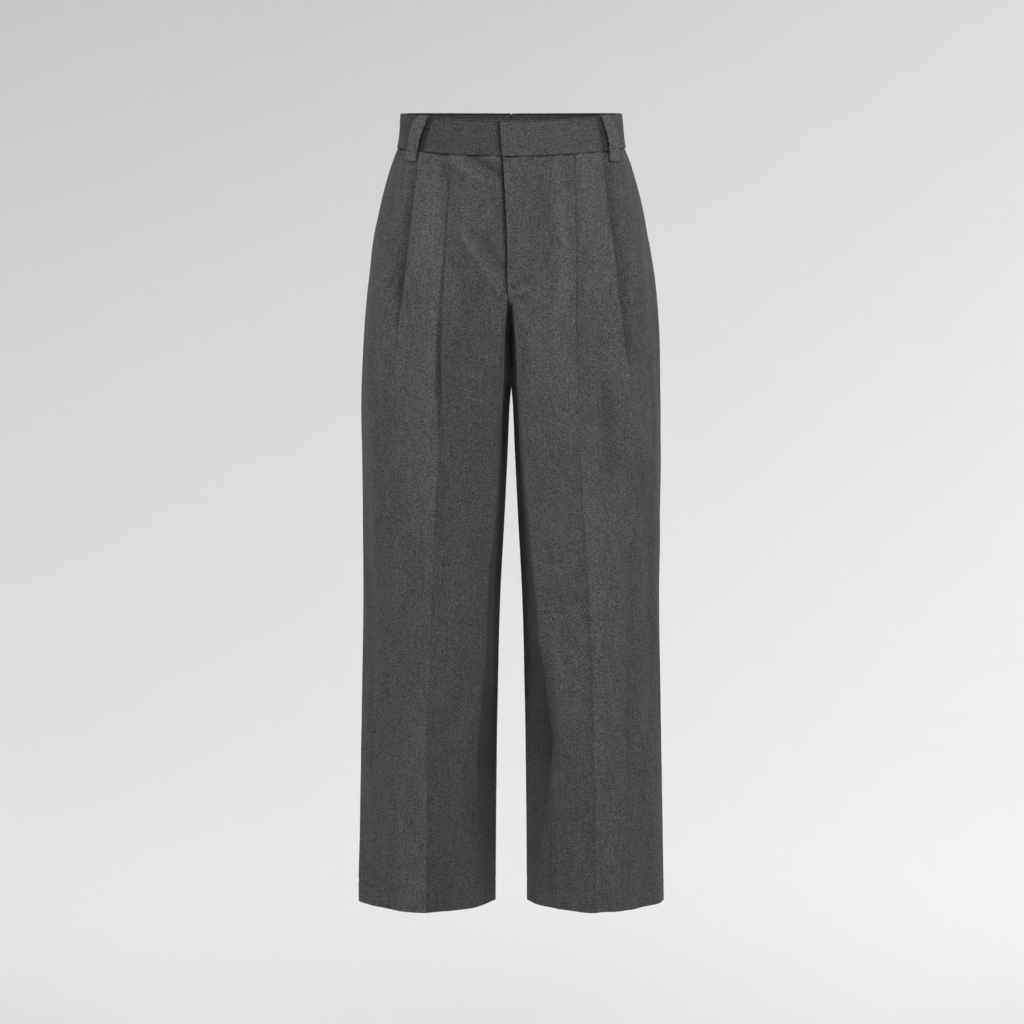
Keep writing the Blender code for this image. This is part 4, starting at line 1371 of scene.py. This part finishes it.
def threadMaterial():
    material, tree, shader = newMaterial("tackThread")
    place = tree.nodes.new("ShaderNodeTexCoord")
    twist = tree.nodes.new("ShaderNodeTexNoise")
    twist.inputs["Scale"].default_value = 2600.0
    twist.inputs["Detail"].default_value = 2.0
    wire(tree, place, "Object", twist, "Vector")
    level = scaledSum(tree, twist.outputs["Fac"], 0.08, 0.035)
    wire(tree, mixGrey(tree, level), "Color", shader, "Base Color")
    rough = scaledSum(tree, twist.outputs["Fac"], 0.3, 0.45)
    tree.links.new(rough, shader.inputs["Roughness"])
    addBump(tree, shader, twist, "Fac", 0.3, 0.0001)
    return material


heather = makeHeather()
finishes = {name: clothMaterial(name) for name in clothLook}
finishOf = {                    # by a piece's first word: its finish and slot
    "front": ("trousers", "wool_cloth"),
    "back": ("trousers", "wool_cloth"),
    "waistband": ("waistband", "waistband_cloth"),
    "pocket": ("facing", "pocket_facing_cloth"),
    "belt": ("loop", "waistband_cloth"),
}
for name, piece in pieces.items():
    finish, slot = finishOf[name.split("_")[0]]
    piece.data.materials.append(finishes[finish])
    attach(piece, "root")
    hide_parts(name)

thread = threadMaterial()
for piece in tackPieces:
    piece.data.materials.append(thread)
    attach(piece, "root")

# Studio: pale sweep, soft light, and the camera.
studio = {
    "floor": -1.6,
    "front": -14.0,
    "bendStarts": 3.0,
    "bend": 2.5,                # radius
    "top": 6.0,
    "halfWidth": 9.0,
    "world": 0.10,
    "backdrop": 0.72,           # how pale the air looks past the sweep
    "pale": 0.80,
    "across": 0.040,            # painted light falloff: the sweep is paler to the right and below
    "upward": -0.060,
    "palest": 0.93,
    "darkest": 0.6,
    "glowFrom": -0.8,           # the floor takes on the air's paleness from here
    "glowOver": 3.5,
}

lights = {                      # place, aim, size in metres, power in watts
    "topLight": ((0.0, -3.4, 2.8), (0, 0, -0.3), (1.6, 1.0), 34),
    "leftLight": ((-2.4, -2.5, 1.5), (0, 0, -0.3), (1.0, 1.3), 46),
    "rightLight": ((2.4, -2.5, 1.5), (0, 0, -0.3), (1.0, 1.3), 54),
    "backLight": ((0.0, 3.4, 2.8), (0, 0, -0.4), (2.2, 1.2), 60),
    "wallLightLeft": ((-3.6, 2.0, 1.4), (-0.8, 4.6, -1.2), (1.6, 2.0), 60),
    "wallLightRight": ((3.6, 2.0, 1.4), (0.8, 4.6, -1.2), (1.6, 2.0), 74),
}

cameraView = {
    "place": (0.001, -4.5, 0.05),
    "down": 0.1271,             # radians below level
    "lens": 120.27,
}


def makeSweep():
    floor, bend = studio["floor"], studio["bend"]
    profile = [(studio["front"], floor), (-6.0, floor), (0.0, floor),
               (studio["bendStarts"], floor)]
    for turn in np.linspace(0, math.pi / 2, 13)[1:]:
        profile.append((studio["bendStarts"] + bend * math.sin(turn),
                        floor + bend * (1 - math.cos(turn))))
    wall = studio["bendStarts"] + bend
    profile += [(wall, studio["top"] / 2), (wall, studio["top"])]
    xs = np.linspace(-studio["halfWidth"], studio["halfWidth"], 19)
    points = np.array([(x, y, z) for y, z in profile for x in xs]) / mm
    index = np.arange(len(points)).reshape(len(profile), len(xs))
    faces = np.stack((index[:-1, :-1], index[:-1, 1:], index[1:, 1:], index[1:, :-1]), axis=-1)
    sweep = addMesh("studio_sweep", points, faces.reshape(-1, 4))
    material, tree, shader = newMaterial("paleSweep")
    place = tree.nodes.new("ShaderNodeTexCoord")
    parts = tree.nodes.new("ShaderNodeSeparateXYZ")
    wire(tree, place, "Object", parts, "Vector")
    # painted light falloff, paler to the right and below
    shade = scaledSum(tree, parts.outputs["Z"], studio["upward"], studio["pale"])
    shade = scaledSum(tree, parts.outputs["X"], studio["across"], shade)
    shade = mathNode(tree, "MINIMUM", shade, studio["palest"])
    shade = mathNode(tree, "MAXIMUM", shade, studio["darkest"])
    wire(tree, mixGrey(tree, shade), "Color", shader, "Base Color")
    # the floor runs into the air's paleness far in front of the object
    away = mathNode(tree, "SUBTRACT", studio["glowFrom"], parts.outputs["Y"])
    away = mathNode(tree, "DIVIDE", away, studio["glowOver"])
    away = mathNode(tree, "MAXIMUM", mathNode(tree, "MINIMUM", away, 1.0), 0.0)
    away = mathNode(tree, "MULTIPLY", away, studio["backdrop"])
    seen = tree.nodes.new("ShaderNodeLightPath")
    glow = mathNode(tree, "MULTIPLY", away, seen.outputs["Is Camera Ray"])
    tree.links.new(glow, shader.inputs["Emission Strength"])
    shader.inputs["Emission Color"].default_value = (1.0, 1.0, 1.0, 1.0)
    shader.inputs["Roughness"].default_value = 0.95
    shader.inputs["Specular IOR Level"].default_value = 0.1
    sweep.data.materials.append(material)


def areaLight(name, place, target, size, power):
    data = bpy.data.lights.new(name, "AREA")
    data.shape = "RECTANGLE"
    data.size, data.size_y = size
    data.energy = power
    light = bpy.data.objects.new(name, data)
    light.location = place
    x, y, z = np.array(target) - np.array(place)
    light.rotation_euler = (math.atan2(math.hypot(x, y), -z), 0, math.atan2(y, x) - math.pi / 2)
    bpy.context.scene.collection.objects.link(light)


def makeWorld():
    world = bpy.data.worlds.new("studioAir")
    world.use_nodes = True
    tree = world.node_tree
    air = tree.nodes["Background"]
    air.inputs["Color"].default_value = (1.0, 1.0, 1.0, 1.0)
    seen = tree.nodes.new("ShaderNodeLightPath")
    extra = studio["backdrop"] - studio["world"]
    level = scaledSum(tree, seen.outputs["Is Camera Ray"], extra, studio["world"])
    tree.links.new(level, air.inputs["Strength"])
    bpy.context.scene.world = world


def makeCamera():
    data = bpy.data.cameras.new("viewCamera")
    data.lens = cameraView["lens"]
    data.sensor_width = 36.0
    camera = bpy.data.objects.new("viewCamera", data)
    camera.location = cameraView["place"]
    camera.rotation_euler = (math.pi / 2 - cameraView["down"], 0, 0)
    bpy.context.scene.collection.objects.link(camera)
    bpy.context.scene.camera = camera


makeSweep()
makeWorld()
for name, values in lights.items():
    areaLight(name, *values)
makeCamera()
bpy.context.scene.view_settings.view_transform = "Standard"
print("studio ready")
